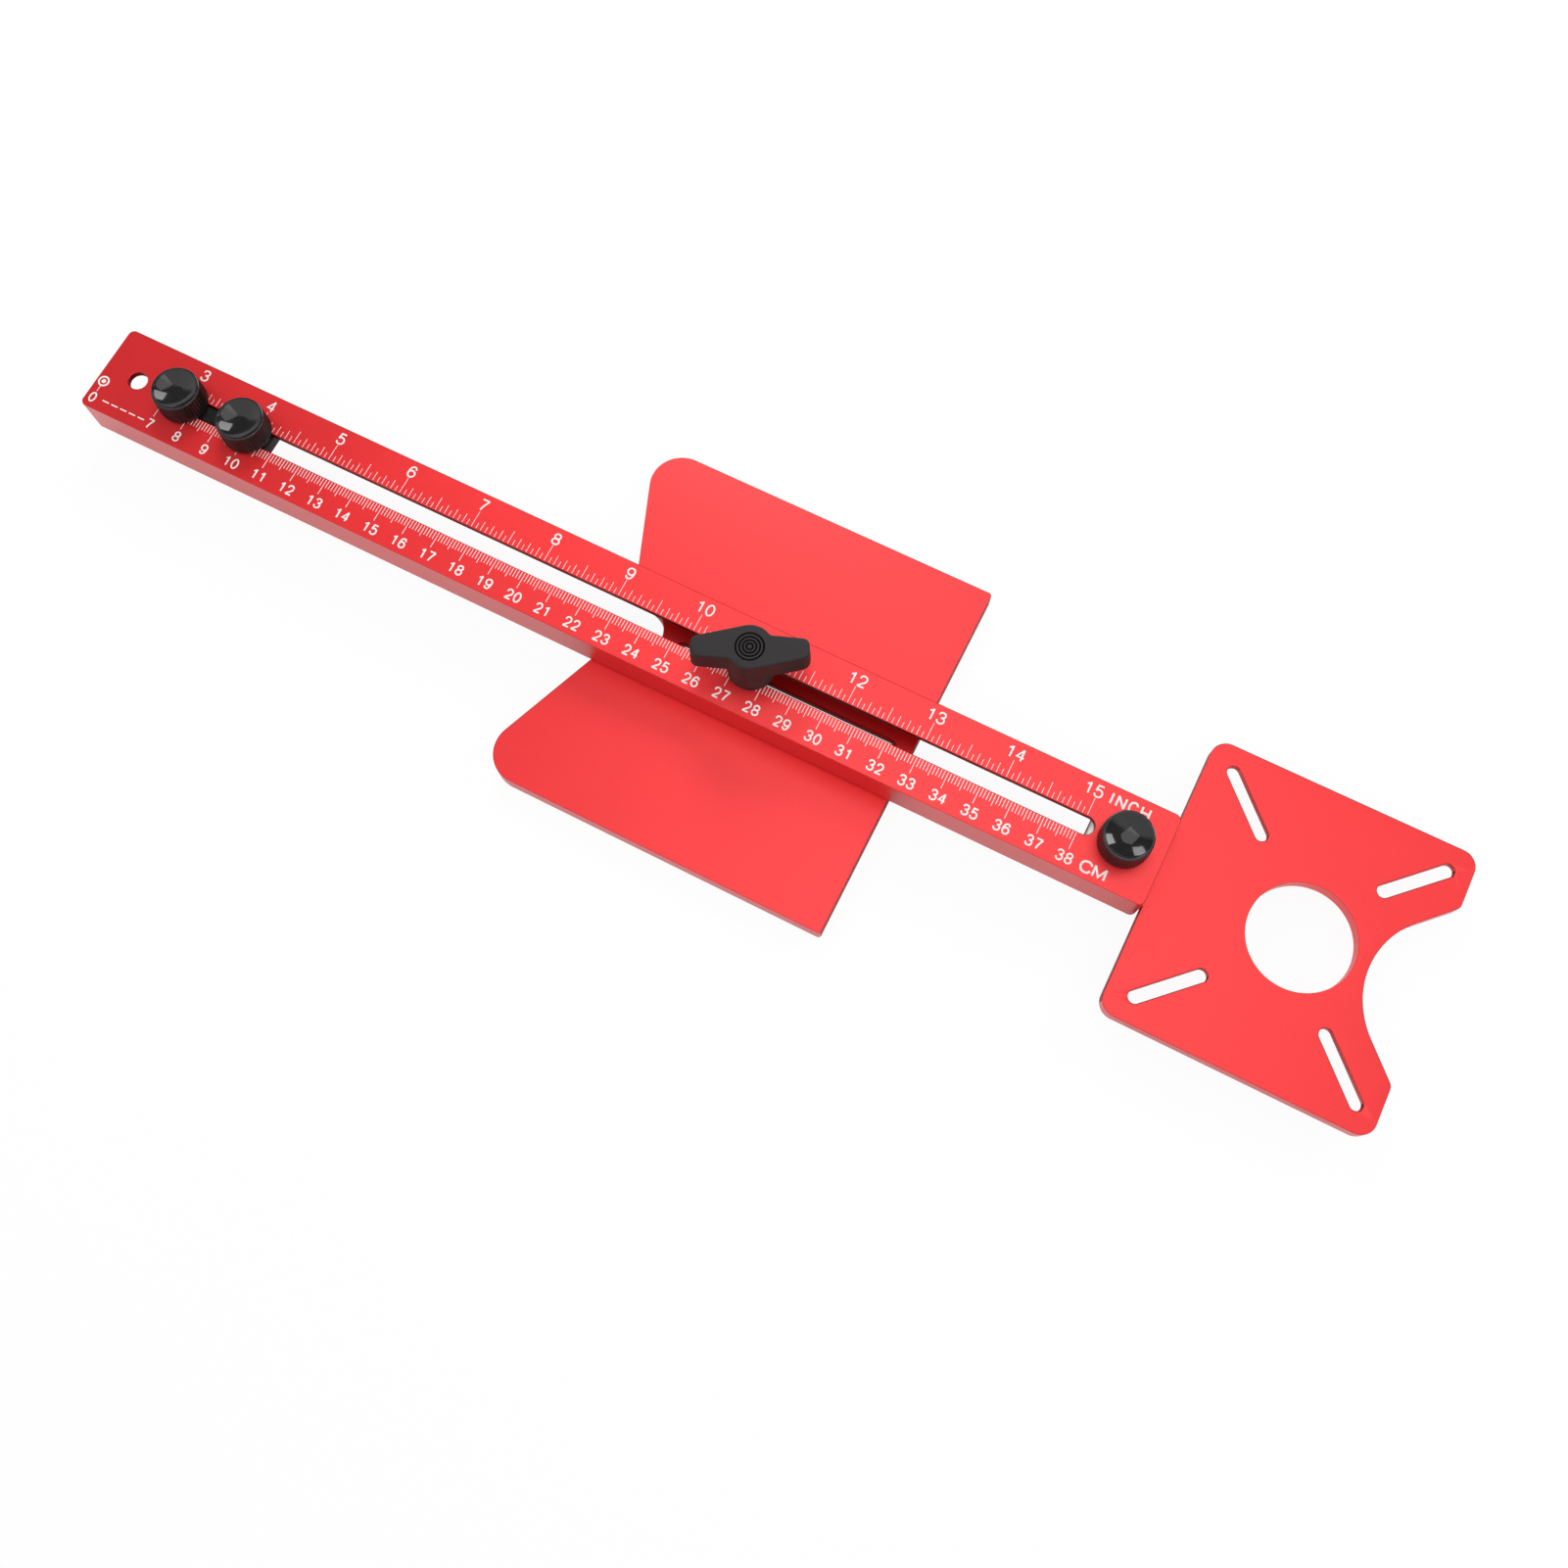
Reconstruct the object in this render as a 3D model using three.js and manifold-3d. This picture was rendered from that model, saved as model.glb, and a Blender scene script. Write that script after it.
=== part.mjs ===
import * as THREE from 'three';
import { mergeVertices } from 'three/addons/utils/BufferGeometryUtils.js';
import Module from 'manifold-3d';

const wasm = await Module();
wasm.setup();

// All lengths are millimetres. X runs along the scale bar from its left end, Y across it, and Z up
// from the bar's printed top face.

// Scale bar, a channel that is open below
const barLength = 358.8;
const barWidth = 29.4;
const barHeight = 13.2;
const barTopWall = 2.0;
const barSideWall = 2.4;
const barCornerRadius = 2.0;
const barArris = 0.35;
const barRootFillet = 0.8;
const barSlotWidth = 5.6;
const barSlotEndMargin = 21.1;
const barEndHoleDiameter = 6.0;
const barEndHoleMargin = 12.1;

// Router base plate with the tongue that fills the channel's end
const routerPlateLength = 81.2;
const routerPlateWidth = 89.5;
const routerPlateThickness = 5.0;
const routerPlateGap = 0.5;
const routerPlateCornerRadius = 5.0;
const routerPlateArris = 0.35;
const routerHoleDiameter = 32.0;
const routerHoleFromEdge = 43.9;
const hornTipRadius = 3.0;
const hornInnerHalfGap = 28.07;
const notchRootRadius = 26.2;
const screwSlotWidth = 4.0;
const screwSlotCentreFromEdge = 41.25;
const screwSlotInner = { along: 18.7, across: 23.0 };
const screwSlotOuter = { along: 32.9, across: 36.9 };
const screwSinkWidth = 7.6;
const screwSinkDepth = 2.6;
const tongueReach = 23.2;
const tongueCornerRadius = 1.0;
const tongueClearance = 0.3;

// Fence plate under the bar, square on its right side and notched on its left
const fenceLength = 117.5;
const fenceWidth = 119.0;
const fenceThickness = 6.4;
const fenceArris = 0.35;
const fenceEdgeCornerRadius = 1.0;
const fenceNotchCornerRadius = 10.0;
const fenceNotchDepth = 23.0;
const reliefRadius = 9.0;
const reliefDepth = 10.45;
const fenceSlotWidth = 5.3;
const fenceEdgeWeb = 4.8;
const fenceReliefWeb = 5.05;
const fenceSlotChamfer = 0.5;
const boltRecessDepth = 3.8;
const boltRecessCornerRadius = 1.0;
const fenceBoltFromEdge = 52.3;
const fenceAxis = 228.1;
const fenceUnderBarGap = 0.3;

// Sliding centre block and its pivot pin
const sliderBlockLength = 36.8;
const sliderBlockDepth = 4.2;
const sliderBlockCornerRadius = 1.5;
const sliderRibLength = 34.2;
const sliderRibRise = 1.5;
const sliderSideClearance = 0.3;
const sliderRibClearance = 0.2;
const sliderTopClearance = 0.3;
const sliderCentre = 41.15;
const sliderKnobSpacing = 23.4;
const pivotPinDiameter = 5.0;
const pivotPinDrop = 5.2;
const pivotPinCollarDiameter = 10.0;
const pivotPinCollarThickness = 1.4;
const pivotPinShankDepth = 4.2;
const pivotPinPoint = 1.2;

// Round clamping knobs
const knobBaseDiameter = 15.5;
const knobTopDiameter = 15.0;
const knobHeight = 7.95;
const knobBottomChamfer = 0.3;
const knobSkirtGap = 0.25;
const knobWasherClearance = 0.25;
const knobRimWidth = 0.8;
const knobRimRound = 0.35;
const knobDishDepth = 1.2;
const knobPipDiameter = 3.0;
const knobPipHeight = 0.7;
const knobRibCount = 48;
const knobRibDepth = 0.35;
const knobRibTopMargin = 0.9;
const studReachIntoKnob = 5.0;

// Wing knob that clamps the fence plate
const wingKnobHeight = 15.8;
const wingHubDiameter = 14.3;
const wingHubBaseDiameter = 14.1;
const wingDepth = 8.6;
const wingDraft = 0.3;
const wingReach = 17.4;
const wingTipTrailing = 2.6;
const wingTipLeading = 3.75;
const wingTipLeadingRadius = 3.0;
const wingTipTrailingRadius = 2.5;
const wingTrailingTaper = 0.11;
const wingRootFillet = 1.5;
const wingLowerBevel = 0.8;
const wingTopArris = 0.3;
const wingRestAngle = THREE.MathUtils.degToRad(27.2);
const ringGrooveRadii = [0.95, 1.95, 3.0, 4.1];
const ringGrooveWidth = 0.5;
const ringGrooveDepth = 0.4;
const wingInsertDiameter = 7.0;
const wingInsertLength = 10.5;

// Metric five threaded hardware, with plain shanks
const screwDiameter = 5.0;
const screwClearance = 0.2;
const screwTipChamfer = 0.6;
const insertDiameter = 7.6;
const insertFlangeDiameter = 9.6;
const insertFlangeThickness = 0.8;
const washerDiameter = 13.0;
const wingWasherDiameter = 14.0;
const washerThickness = 0.9;
const boltHeadAcrossFlats = 8.0;
const boltHeadHeight = 3.4;
const boltHeadClearance = 0.3;
const boltReachAboveWasher = 10.5;
const endStudTipGap = 0.3;
const seatGap = 0.05;
const runningGap = 0.2;
const fitGap = 0.15;

// Fineness of curves, and the overrun that lets a cutter pass right through
const arcStep = THREE.MathUtils.degToRad(15);
const fineRoundSides = 48;
const smallRoundSides = 24;
const hexSides = 6;
const cutOverrun = 1.0;

// Places worked out from the sizes above
const barUnderside = -barHeight;
const channelRoof = -barTopWall;
const channelWidth = barWidth - 2 * barSideWall;
const barSlotLength = barLength - 2 * barSlotEndMargin;
const endKnobAxis = barLength - barEndHoleMargin;
const routerPlateLeft = barLength + routerPlateGap;
const routerPlateRight = routerPlateLeft + routerPlateLength;
const tongueTop = barUnderside + routerPlateThickness;
const tongueWidth = channelWidth - 2 * tongueClearance;
const tongueLeft = routerPlateLeft - tongueReach;
const fenceTop = barUnderside - fenceUnderBarGap;
const fenceBottom = fenceTop - fenceThickness;
const fenceReliefReach = fenceNotchDepth + reliefDepth;
const fenceSlotLength = fenceLength - fenceReliefReach - fenceReliefWeb - fenceEdgeWeb;
const sliderBlockTop = channelRoof - sliderTopClearance;
const sliderBlockBottom = sliderBlockTop - sliderBlockDepth;
const knobUnderside = seatGap + washerThickness + runningGap;
const screwHoleDiameter = screwDiameter + 2 * screwClearance;
const insertLength = sliderBlockDepth - insertFlangeThickness;

const finishes = {
  redAnodised: { color: 0xd6303c, roughness: 0.42, metalness: 0.75 },
  bareAluminium: { color: 0xc9cacc, roughness: 0.38, metalness: 1.0 },
  glossBlack: { color: 0x141416, roughness: 0.16, metalness: 0.0 },
  mattBlack: { color: 0x2b2b2d, roughness: 0.62, metalness: 0.0 },
  zincSteel: { color: 0xb9bcc0, roughness: 0.34, metalness: 1.0 },
  brass: { color: 0xc9a24b, roughness: 0.35, metalness: 1.0 },
};

// Closed geometry holding positions only, with shared vertices merged and no flattened triangle
function closedGeometry(geometry) {
  const bare = geometry.clone();
  bare.deleteAttribute('normal');
  bare.deleteAttribute('uv');
  const merged = mergeVertices(bare);
  const corners = merged.index.array;
  const kept = [];
  for (let start = 0; start < corners.length; start += 3) {
    const [a, b, c] = [corners[start], corners[start + 1], corners[start + 2]];
    if (a !== b && b !== c && c !== a) kept.push(a, b, c);
  }
  merged.setIndex(kept);
  return merged;
}

function toSolid(geometry) {
  const closed = closedGeometry(geometry);
  return new wasm.Manifold(new wasm.Mesh({
    numProp: 3,
    vertProperties: new Float32Array(closed.attributes.position.array),
    triVerts: new Uint32Array(closed.index.array),
  }));
}

function toGeometry(solid) {
  const mesh = solid.getMesh();
  const geometry = new THREE.BufferGeometry();
  geometry.setAttribute('position', new THREE.BufferAttribute(mesh.vertProperties, 3));
  geometry.setIndex(new THREE.BufferAttribute(mesh.triVerts, 1));
  return geometry;
}

function cutAll(geometry, cutters) {
  return toGeometry(cutters.reduce((solid, cutter) => solid.subtract(toSolid(cutter)), toSolid(geometry)));
}

function join(first, second) {
  return toGeometry(toSolid(first).add(toSolid(second)));
}

function moved(geometry, x, y, z) {
  return geometry.clone().translate(x, y, z);
}

function arcPoints(centre, radius, from, sweep) {
  const steps = Math.max(2, Math.ceil(Math.abs(sweep) / arcStep));
  return Array.from({ length: steps + 1 }, (_, step) => {
    const angle = from + sweep * step / steps;
    return new THREE.Vector2(centre.x + radius * Math.cos(angle), centre.y + radius * Math.sin(angle));
  });
}

// Outline through the corners in turn, each rounded by an arc that touches both of its sides
function roundedOutline(corners) {
  return corners.flatMap((corner, index) => {
    const point = new THREE.Vector2(corner.x, corner.y);
    if (!corner.radius) return [point];
    const before = corners.at(index - 1);
    const after = corners[(index + 1) % corners.length];
    const toBefore = new THREE.Vector2(before.x, before.y).sub(point).normalize();
    const toAfter = new THREE.Vector2(after.x, after.y).sub(point).normalize();
    const halfAngle = Math.acos(THREE.MathUtils.clamp(toBefore.dot(toAfter), -1, 1)) / 2;
    const inward = toBefore.clone().add(toAfter).normalize();
    const centre = point.clone().addScaledVector(inward, corner.radius / Math.sin(halfAngle));
    const start = point.clone().addScaledVector(toBefore, corner.radius / Math.tan(halfAngle)).sub(centre);
    const turnsLeft = toBefore.cross(toAfter) < 0;
    const sweep = (turnsLeft ? 1 : -1) * (Math.PI - 2 * halfAngle);
    return arcPoints(centre, corner.radius, start.angle(), sweep);
  });
}

function rectangleOutline(left, right, halfWidth, radius) {
  return roundedOutline([
    { x: left, y: -halfWidth, radius },
    { x: right, y: -halfWidth, radius },
    { x: right, y: halfWidth, radius },
    { x: left, y: halfWidth, radius },
  ]);
}

// Slot outline along X about the origin, with half-round ends
function slotOutline(length, width) {
  const centre = length / 2 - width / 2;
  return [
    ...arcPoints({ x: centre, y: 0 }, width / 2, -Math.PI / 2, Math.PI),
    ...arcPoints({ x: -centre, y: 0 }, width / 2, Math.PI / 2, Math.PI),
  ];
}

function insetOutline(points, distance) {
  return points.map((point, index) => {
    const before = points.at(index - 1);
    const after = points[(index + 1) % points.length];
    const sideIn = point.clone().sub(before).normalize();
    const sideOut = after.clone().sub(point).normalize();
    const inward = new THREE.Vector2(-sideIn.y - sideOut.y, sideIn.x + sideOut.x).normalize();
    const spread = inward.dot(new THREE.Vector2(-sideIn.y, sideIn.x));
    return point.clone().addScaledVector(inward, distance / spread);
  });
}

// Closed body through matching outlines at rising heights
function lofted(sections) {
  const count = sections[0].points.length;
  const positions = sections.flatMap(({ points, z }) => points.flatMap((point) => [point.x, point.y, z]));
  const faces = [];
  for (let level = 0; level + 1 < sections.length; level += 1) {
    for (let side = 0; side < count; side += 1) {
      const low = level * count + side;
      const lowNext = level * count + (side + 1) % count;
      faces.push(low, lowNext, lowNext + count, low, lowNext + count, low + count);
    }
  }
  const topStart = (sections.length - 1) * count;
  for (const [a, b, c] of THREE.ShapeUtils.triangulateShape(sections[0].points, [])) faces.push(c, b, a);
  for (const [a, b, c] of THREE.ShapeUtils.triangulateShape(sections.at(-1).points, [])) {
    faces.push(topStart + a, topStart + b, topStart + c);
  }
  const geometry = new THREE.BufferGeometry();
  geometry.setAttribute('position', new THREE.Float32BufferAttribute(positions, 3));
  geometry.setIndex(faces);
  return geometry;
}

function prism(points, bottom, top) {
  return lofted([{ points, z: bottom }, { points, z: top }]);
}

// Plate with its upper and lower edges broken by a small chamfer
function platePrism(points, bottom, top, arris) {
  const drawnIn = insetOutline(points, arris);
  return lofted([
    { points: drawnIn, z: bottom },
    { points, z: bottom + arris },
    { points, z: top - arris },
    { points: drawnIn, z: top },
  ]);
}

// Body of revolution about Z from radius and height pairs
function turned(profile, sides) {
  const points = profile.map(([radius, height]) => new THREE.Vector2(radius, height));
  return new THREE.LatheGeometry(points, sides).rotateX(Math.PI / 2);
}

function rod(diameter, bottom, top, sides) {
  return turned([[0, bottom], [diameter / 2, bottom], [diameter / 2, top], [0, top]], sides);
}

function tubeRing(outerDiameter, innerDiameter, bottom, top) {
  return turned([
    [innerDiameter / 2, bottom],
    [outerDiameter / 2, bottom],
    [outerDiameter / 2, top],
    [innerDiameter / 2, top],
    [innerDiameter / 2, bottom],
  ], smallRoundSides);
}

function ribbedRing(radius, ribDepth) {
  return Array.from({ length: 2 * knobRibCount }, (_, side) => {
    const angle = Math.PI * side / knobRibCount;
    const reach = radius - (side % 2) * ribDepth;
    return new THREE.Vector2(reach * Math.cos(angle), reach * Math.sin(angle));
  });
}

function makeBar() {
  const halfWidth = barWidth / 2;
  const halfChannel = channelWidth / 2;
  const section = roundedOutline([
    { x: -halfWidth, y: barUnderside },
    { x: -halfChannel, y: barUnderside },
    { x: -halfChannel, y: channelRoof, radius: barRootFillet },
    { x: halfChannel, y: channelRoof, radius: barRootFillet },
    { x: halfChannel, y: barUnderside },
    { x: halfWidth, y: barUnderside },
    { x: halfWidth, y: -barArris },
    { x: halfWidth - barArris, y: 0 },
    { x: -halfWidth + barArris, y: 0 },
    { x: -halfWidth, y: -barArris },
  ]);
  const channelShape = new THREE.Shape(section);
  const channel = new THREE.ExtrudeGeometry(channelShape, { depth: barLength, bevelEnabled: false });
  const alongX = new THREE.Matrix4().makeBasis(
    new THREE.Vector3(0, 1, 0),
    new THREE.Vector3(0, 0, 1),
    new THREE.Vector3(1, 0, 0),
  );
  channel.applyMatrix4(alongX);
  const plan = prism(
    rectangleOutline(0, barLength, halfWidth, barCornerRadius),
    barUnderside - cutOverrun,
    cutOverrun,
  );
  const slot = moved(
    prism(slotOutline(barSlotLength, barSlotWidth), channelRoof - cutOverrun, cutOverrun),
    barLength / 2, 0, 0,
  );
  const hole = rod(barEndHoleDiameter, channelRoof - cutOverrun, cutOverrun, smallRoundSides);
  const blank = toGeometry(toSolid(channel).intersect(toSolid(plan)));
  return cutAll(blank, [slot, moved(hole, barEndHoleMargin, 0, 0), moved(hole, endKnobAxis, 0, 0)]);
}

// Slanting screw slot, wider below so that a countersunk head lies under the surface
function screwSlotCutter() {
  const reach = Math.hypot(
    screwSlotOuter.along - screwSlotInner.along,
    screwSlotOuter.across - screwSlotInner.across,
  );
  const flare = (screwSinkWidth - screwSlotWidth) / 2;
  const narrow = slotOutline(reach + screwSlotWidth, screwSlotWidth);
  const wide = insetOutline(narrow, -flare);
  return lofted([
    { points: wide, z: barUnderside - cutOverrun },
    { points: wide, z: barUnderside },
    { points: narrow, z: barUnderside + screwSinkDepth },
    { points: narrow, z: tongueTop + cutOverrun },
  ]);
}

function makeRouterBasePlate() {
  const halfTongue = tongueWidth / 2;
  const halfPlate = routerPlateWidth / 2;
  const notchApex = routerPlateRight - hornInnerHalfGap;
  const outline = roundedOutline([
    { x: tongueLeft, y: -halfTongue, radius: tongueCornerRadius },
    { x: routerPlateLeft, y: -halfTongue },
    { x: routerPlateLeft, y: -halfPlate, radius: routerPlateCornerRadius },
    { x: routerPlateRight, y: -halfPlate, radius: routerPlateCornerRadius },
    { x: routerPlateRight, y: -hornInnerHalfGap, radius: hornTipRadius },
    { x: notchApex, y: 0, radius: notchRootRadius },
    { x: routerPlateRight, y: hornInnerHalfGap, radius: hornTipRadius },
    { x: routerPlateRight, y: halfPlate, radius: routerPlateCornerRadius },
    { x: routerPlateLeft, y: halfPlate, radius: routerPlateCornerRadius },
    { x: routerPlateLeft, y: halfTongue },
    { x: tongueLeft, y: halfTongue, radius: tongueCornerRadius },
  ]);
  const plate = platePrism(outline, barUnderside, tongueTop, routerPlateArris);
  const routerHole = rod(
    routerHoleDiameter, barUnderside - cutOverrun, tongueTop + cutOverrun, fineRoundSides,
  );
  const studHole = rod(
    screwHoleDiameter, barUnderside - cutOverrun, tongueTop + cutOverrun, smallRoundSides,
  );
  const slotMiddle = {
    along: (screwSlotInner.along + screwSlotOuter.along) / 2,
    across: (screwSlotInner.across + screwSlotOuter.across) / 2,
  };
  const slant = Math.atan2(
    screwSlotOuter.across - screwSlotInner.across,
    screwSlotOuter.along - screwSlotInner.along,
  );
  const slots = [[1, 1], [1, -1], [-1, 1], [-1, -1]].map(([alongSide, acrossSide]) => moved(
    screwSlotCutter().rotateZ(alongSide * acrossSide * slant),
    routerPlateLeft + screwSlotCentreFromEdge + alongSide * slotMiddle.along,
    acrossSide * slotMiddle.across,
    0,
  ));
  return cutAll(plate, [
    moved(routerHole, routerPlateLeft + routerHoleFromEdge, 0, 0),
    moved(studHole, endKnobAxis, 0, 0),
    ...slots,
  ]);
}

function makeTongueSpacer() {
  const block = platePrism(
    rectangleOutline(tongueLeft, barLength, tongueWidth / 2, tongueCornerRadius),
    tongueTop + seatGap,
    channelRoof - seatGap,
    barRootFillet,
  );
  const hole = rod(screwHoleDiameter, tongueTop - cutOverrun, cutOverrun, smallRoundSides);
  return cutAll(block, [moved(hole, endKnobAxis, 0, 0)]);
}

// The fence plate is drawn about its clamping bolt, with its square edge on the right
function makeFencePlate() {
  const edge = fenceBoltFromEdge;
  const halfWidth = fenceWidth / 2;
  const apex = edge - fenceLength + fenceNotchDepth;
  const outline = roundedOutline([
    { x: edge, y: -halfWidth, radius: fenceEdgeCornerRadius },
    { x: edge, y: halfWidth, radius: fenceEdgeCornerRadius },
    { x: edge - fenceLength, y: halfWidth, radius: fenceNotchCornerRadius },
    { x: apex, y: 0 },
    { x: edge - fenceLength, y: -halfWidth, radius: fenceNotchCornerRadius },
  ]);
  const plate = platePrism(outline, fenceBottom, fenceTop, fenceArris);
  const relief = prism(
    slotOutline(fenceReliefReach, 2 * reliefRadius), fenceBottom - cutOverrun, fenceTop + cutOverrun,
  );
  const slotMiddle = edge - fenceEdgeWeb - fenceSlotLength / 2;
  const narrow = slotOutline(fenceSlotLength, fenceSlotWidth);
  const slot = lofted([
    { points: narrow, z: fenceBottom - cutOverrun },
    { points: narrow, z: fenceTop - fenceSlotChamfer },
    { points: insetOutline(narrow, -fenceSlotChamfer), z: fenceTop },
    { points: insetOutline(narrow, -fenceSlotChamfer), z: fenceTop + cutOverrun },
  ]);
  const headReach = boltHeadAcrossFlats / Math.sqrt(3) + boltHeadClearance;
  const recessHalf = fenceSlotLength / 2 - fenceSlotWidth / 2 + headReach;
  const recess = prism(
    rectangleOutline(
      -recessHalf, recessHalf, boltHeadAcrossFlats / 2 + boltHeadClearance, boltRecessCornerRadius,
    ),
    fenceBottom - cutOverrun,
    fenceBottom + boltRecessDepth,
  );
  return cutAll(plate, [
    moved(relief, edge - fenceLength + fenceReliefReach / 2, 0, 0),
    moved(slot, slotMiddle, 0, 0),
    moved(recess, slotMiddle, 0, 0),
  ]);
}

// The block is drawn about its pivot pin, with a rib that runs in the bar's slot
function makeSliderBlock() {
  const bodyWidth = channelWidth - 2 * sliderSideClearance;
  const ribWidth = barSlotWidth - 2 * sliderRibClearance;
  const half = sliderBlockLength / 2;
  const body = platePrism(
    rectangleOutline(-half, half, bodyWidth / 2, sliderBlockCornerRadius),
    sliderBlockBottom,
    sliderBlockTop,
    barRootFillet,
  );
  const rib = prism(
    slotOutline(sliderRibLength, ribWidth),
    sliderBlockTop - cutOverrun,
    sliderBlockTop + sliderRibRise,
  );
  const insertHole = rod(
    insertDiameter + 2 * fitGap, sliderBlockBottom - cutOverrun, sliderBlockBottom + insertLength,
    fineRoundSides,
  );
  const studHole = rod(screwHoleDiameter, sliderBlockBottom - cutOverrun, cutOverrun, smallRoundSides);
  const pinHole = rod(
    pivotPinDiameter + 2 * fitGap,
    sliderBlockBottom - cutOverrun,
    sliderBlockBottom + pivotPinShankDepth + fitGap,
    smallRoundSides,
  );
  const offsets = [-sliderKnobSpacing / 2, sliderKnobSpacing / 2];
  return cutAll(join(body, rib), [
    pinHole,
    ...offsets.flatMap((offset) => [moved(insertHole, offset, 0, 0), moved(studHole, offset, 0, 0)]),
  ]);
}

function makePivotPin() {
  const radius = pivotPinDiameter / 2;
  const collarTop = sliderBlockBottom - seatGap;
  const tip = barUnderside - pivotPinDrop;
  return turned([
    [0, tip],
    [radius - pivotPinPoint, tip],
    [radius, tip + pivotPinPoint],
    [radius, collarTop - pivotPinCollarThickness],
    [pivotPinCollarDiameter / 2, collarTop - pivotPinCollarThickness],
    [pivotPinCollarDiameter / 2, collarTop],
    [radius, collarTop],
    [radius, sliderBlockBottom + pivotPinShankDepth],
    [0, sliderBlockBottom + pivotPinShankDepth],
  ], smallRoundSides);
}

// Brass insert pulled up into the block from below by its flange
function makeSliderInsert() {
  const flangeTop = sliderBlockBottom - seatGap;
  return turned([
    [screwHoleDiameter / 2, flangeTop - insertFlangeThickness],
    [insertFlangeDiameter / 2, flangeTop - insertFlangeThickness],
    [insertFlangeDiameter / 2, flangeTop],
    [insertDiameter / 2, flangeTop],
    [insertDiameter / 2, sliderBlockBottom + insertLength - fitGap],
    [screwHoleDiameter / 2, sliderBlockBottom + insertLength - fitGap],
    [screwHoleDiameter / 2, flangeTop - insertFlangeThickness],
  ], smallRoundSides);
}

// Ribbed knob with a rolled rim, a dished top and a raised middle, drawn up from the foot of its skirt,
// which stands round the washer
function makeRoundKnob() {
  const baseRadius = knobBaseDiameter / 2;
  const topRadius = knobTopDiameter / 2;
  const ribTop = knobHeight - knobRibTopMargin;
  const ribTopShare = ribTop / knobHeight;
  const dishRadius = topRadius - knobRimRound - knobRimWidth;
  const dishFloor = knobHeight - knobDishDepth;
  const pipRadius = knobPipDiameter / 2;
  const crown = lofted([
    { points: ribbedRing(baseRadius - knobBottomChamfer, 0), z: 0 },
    { points: ribbedRing(baseRadius, knobRibDepth), z: knobBottomChamfer },
    {
      points: ribbedRing(THREE.MathUtils.lerp(baseRadius, topRadius, ribTopShare), knobRibDepth),
      z: ribTop,
    },
    { points: ribbedRing(topRadius, 0), z: knobHeight - knobRimRound },
    { points: ribbedRing(topRadius - knobRimRound, 0), z: knobHeight },
    { points: ribbedRing(dishRadius, 0), z: knobHeight },
    { points: ribbedRing(dishRadius - knobRimRound, 0), z: knobHeight - knobRimRound },
    { points: ribbedRing(pipRadius, 0), z: dishFloor },
    { points: ribbedRing(pipRadius - knobRimRound, 0), z: dishFloor + knobPipHeight },
  ]);
  const socketTop = knobUnderside - knobSkirtGap + studReachIntoKnob + fitGap;
  const studSocket = rod(screwHoleDiameter, -cutOverrun, socketTop, smallRoundSides);
  const washerRecess = rod(
    washerDiameter + 2 * knobWasherClearance, -cutOverrun, knobUnderside - knobSkirtGap, fineRoundSides,
  );
  return cutAll(crown, [studSocket, washerRecess]);
}

// Plain shank between two heights, chamfered at its lower end
function makeStud(bottom, top) {
  const radius = screwDiameter / 2;
  return turned([
    [0, bottom],
    [radius - screwTipChamfer, bottom],
    [radius, bottom + screwTipChamfer],
    [radius, top],
    [0, top],
  ], smallRoundSides);
}

// Outline of the two wings and the hub between them, drawn with one wing towards plus X
function wingOutline() {
  const hubRadius = wingHubDiameter / 2;
  const tipDistance = Math.hypot(wingReach, wingTipLeading);
  const tangent = -Math.atan2(wingTipLeading, wingReach) - Math.acos(hubRadius / tipDistance);
  const flankHeight = (x) => wingTipTrailing + wingTrailingTaper * (wingReach - x);
  let root = hubRadius;
  for (let pass = 0; pass < smallRoundSides; pass += 1) {
    root = Math.sqrt(hubRadius ** 2 - flankHeight(root) ** 2);
  }
  const rootAngle = Math.atan2(flankHeight(root), root);
  const hubArc = arcPoints({ x: 0, y: 0 }, hubRadius, rootAngle, Math.PI + tangent - rootAngle).slice(1);
  const half = [
    { x: wingReach, y: -wingTipLeading, radius: wingTipLeadingRadius },
    { x: wingReach, y: wingTipTrailing, radius: wingTipTrailingRadius },
    { x: root, y: flankHeight(root), radius: wingRootFillet },
    ...hubArc.map(({ x, y }) => ({ x, y })),
  ];
  return roundedOutline([...half, ...half.map(({ x, y, radius }) => ({ x: -x, y: -y, radius }))]);
}

// Wing knob drawn up from the foot of its hub, with its wings a little wider below than above
function makeWingKnob() {
  const outline = wingOutline();
  const wingBottom = wingKnobHeight - wingDepth;
  const wings = lofted([
    { points: insetOutline(outline, wingLowerBevel), z: wingBottom },
    { points: outline, z: wingBottom + wingLowerBevel },
    { points: insetOutline(outline, wingDraft), z: wingKnobHeight - wingTopArris },
    { points: insetOutline(outline, wingDraft + wingTopArris), z: wingKnobHeight },
  ]);
  const hub = turned([
    [0, 0],
    [wingHubBaseDiameter / 2 - wingTopArris, 0],
    [wingHubBaseDiameter / 2, wingTopArris],
    [wingHubDiameter / 2 - fitGap, wingBottom + wingLowerBevel],
    [0, wingBottom + wingLowerBevel],
  ], fineRoundSides);
  const grooves = ringGrooveRadii.map((radius) => turned([
    [radius, wingKnobHeight - ringGrooveDepth],
    [radius + ringGrooveWidth / 2, wingKnobHeight + ringGrooveDepth],
    [radius - ringGrooveWidth / 2, wingKnobHeight + ringGrooveDepth],
    [radius, wingKnobHeight - ringGrooveDepth],
  ], smallRoundSides));
  const socket = rod(
    wingInsertDiameter + 2 * fitGap, -cutOverrun, wingInsertLength + 2 * fitGap, fineRoundSides,
  );
  return cutAll(join(wings, hub), [...grooves, socket]);
}

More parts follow.
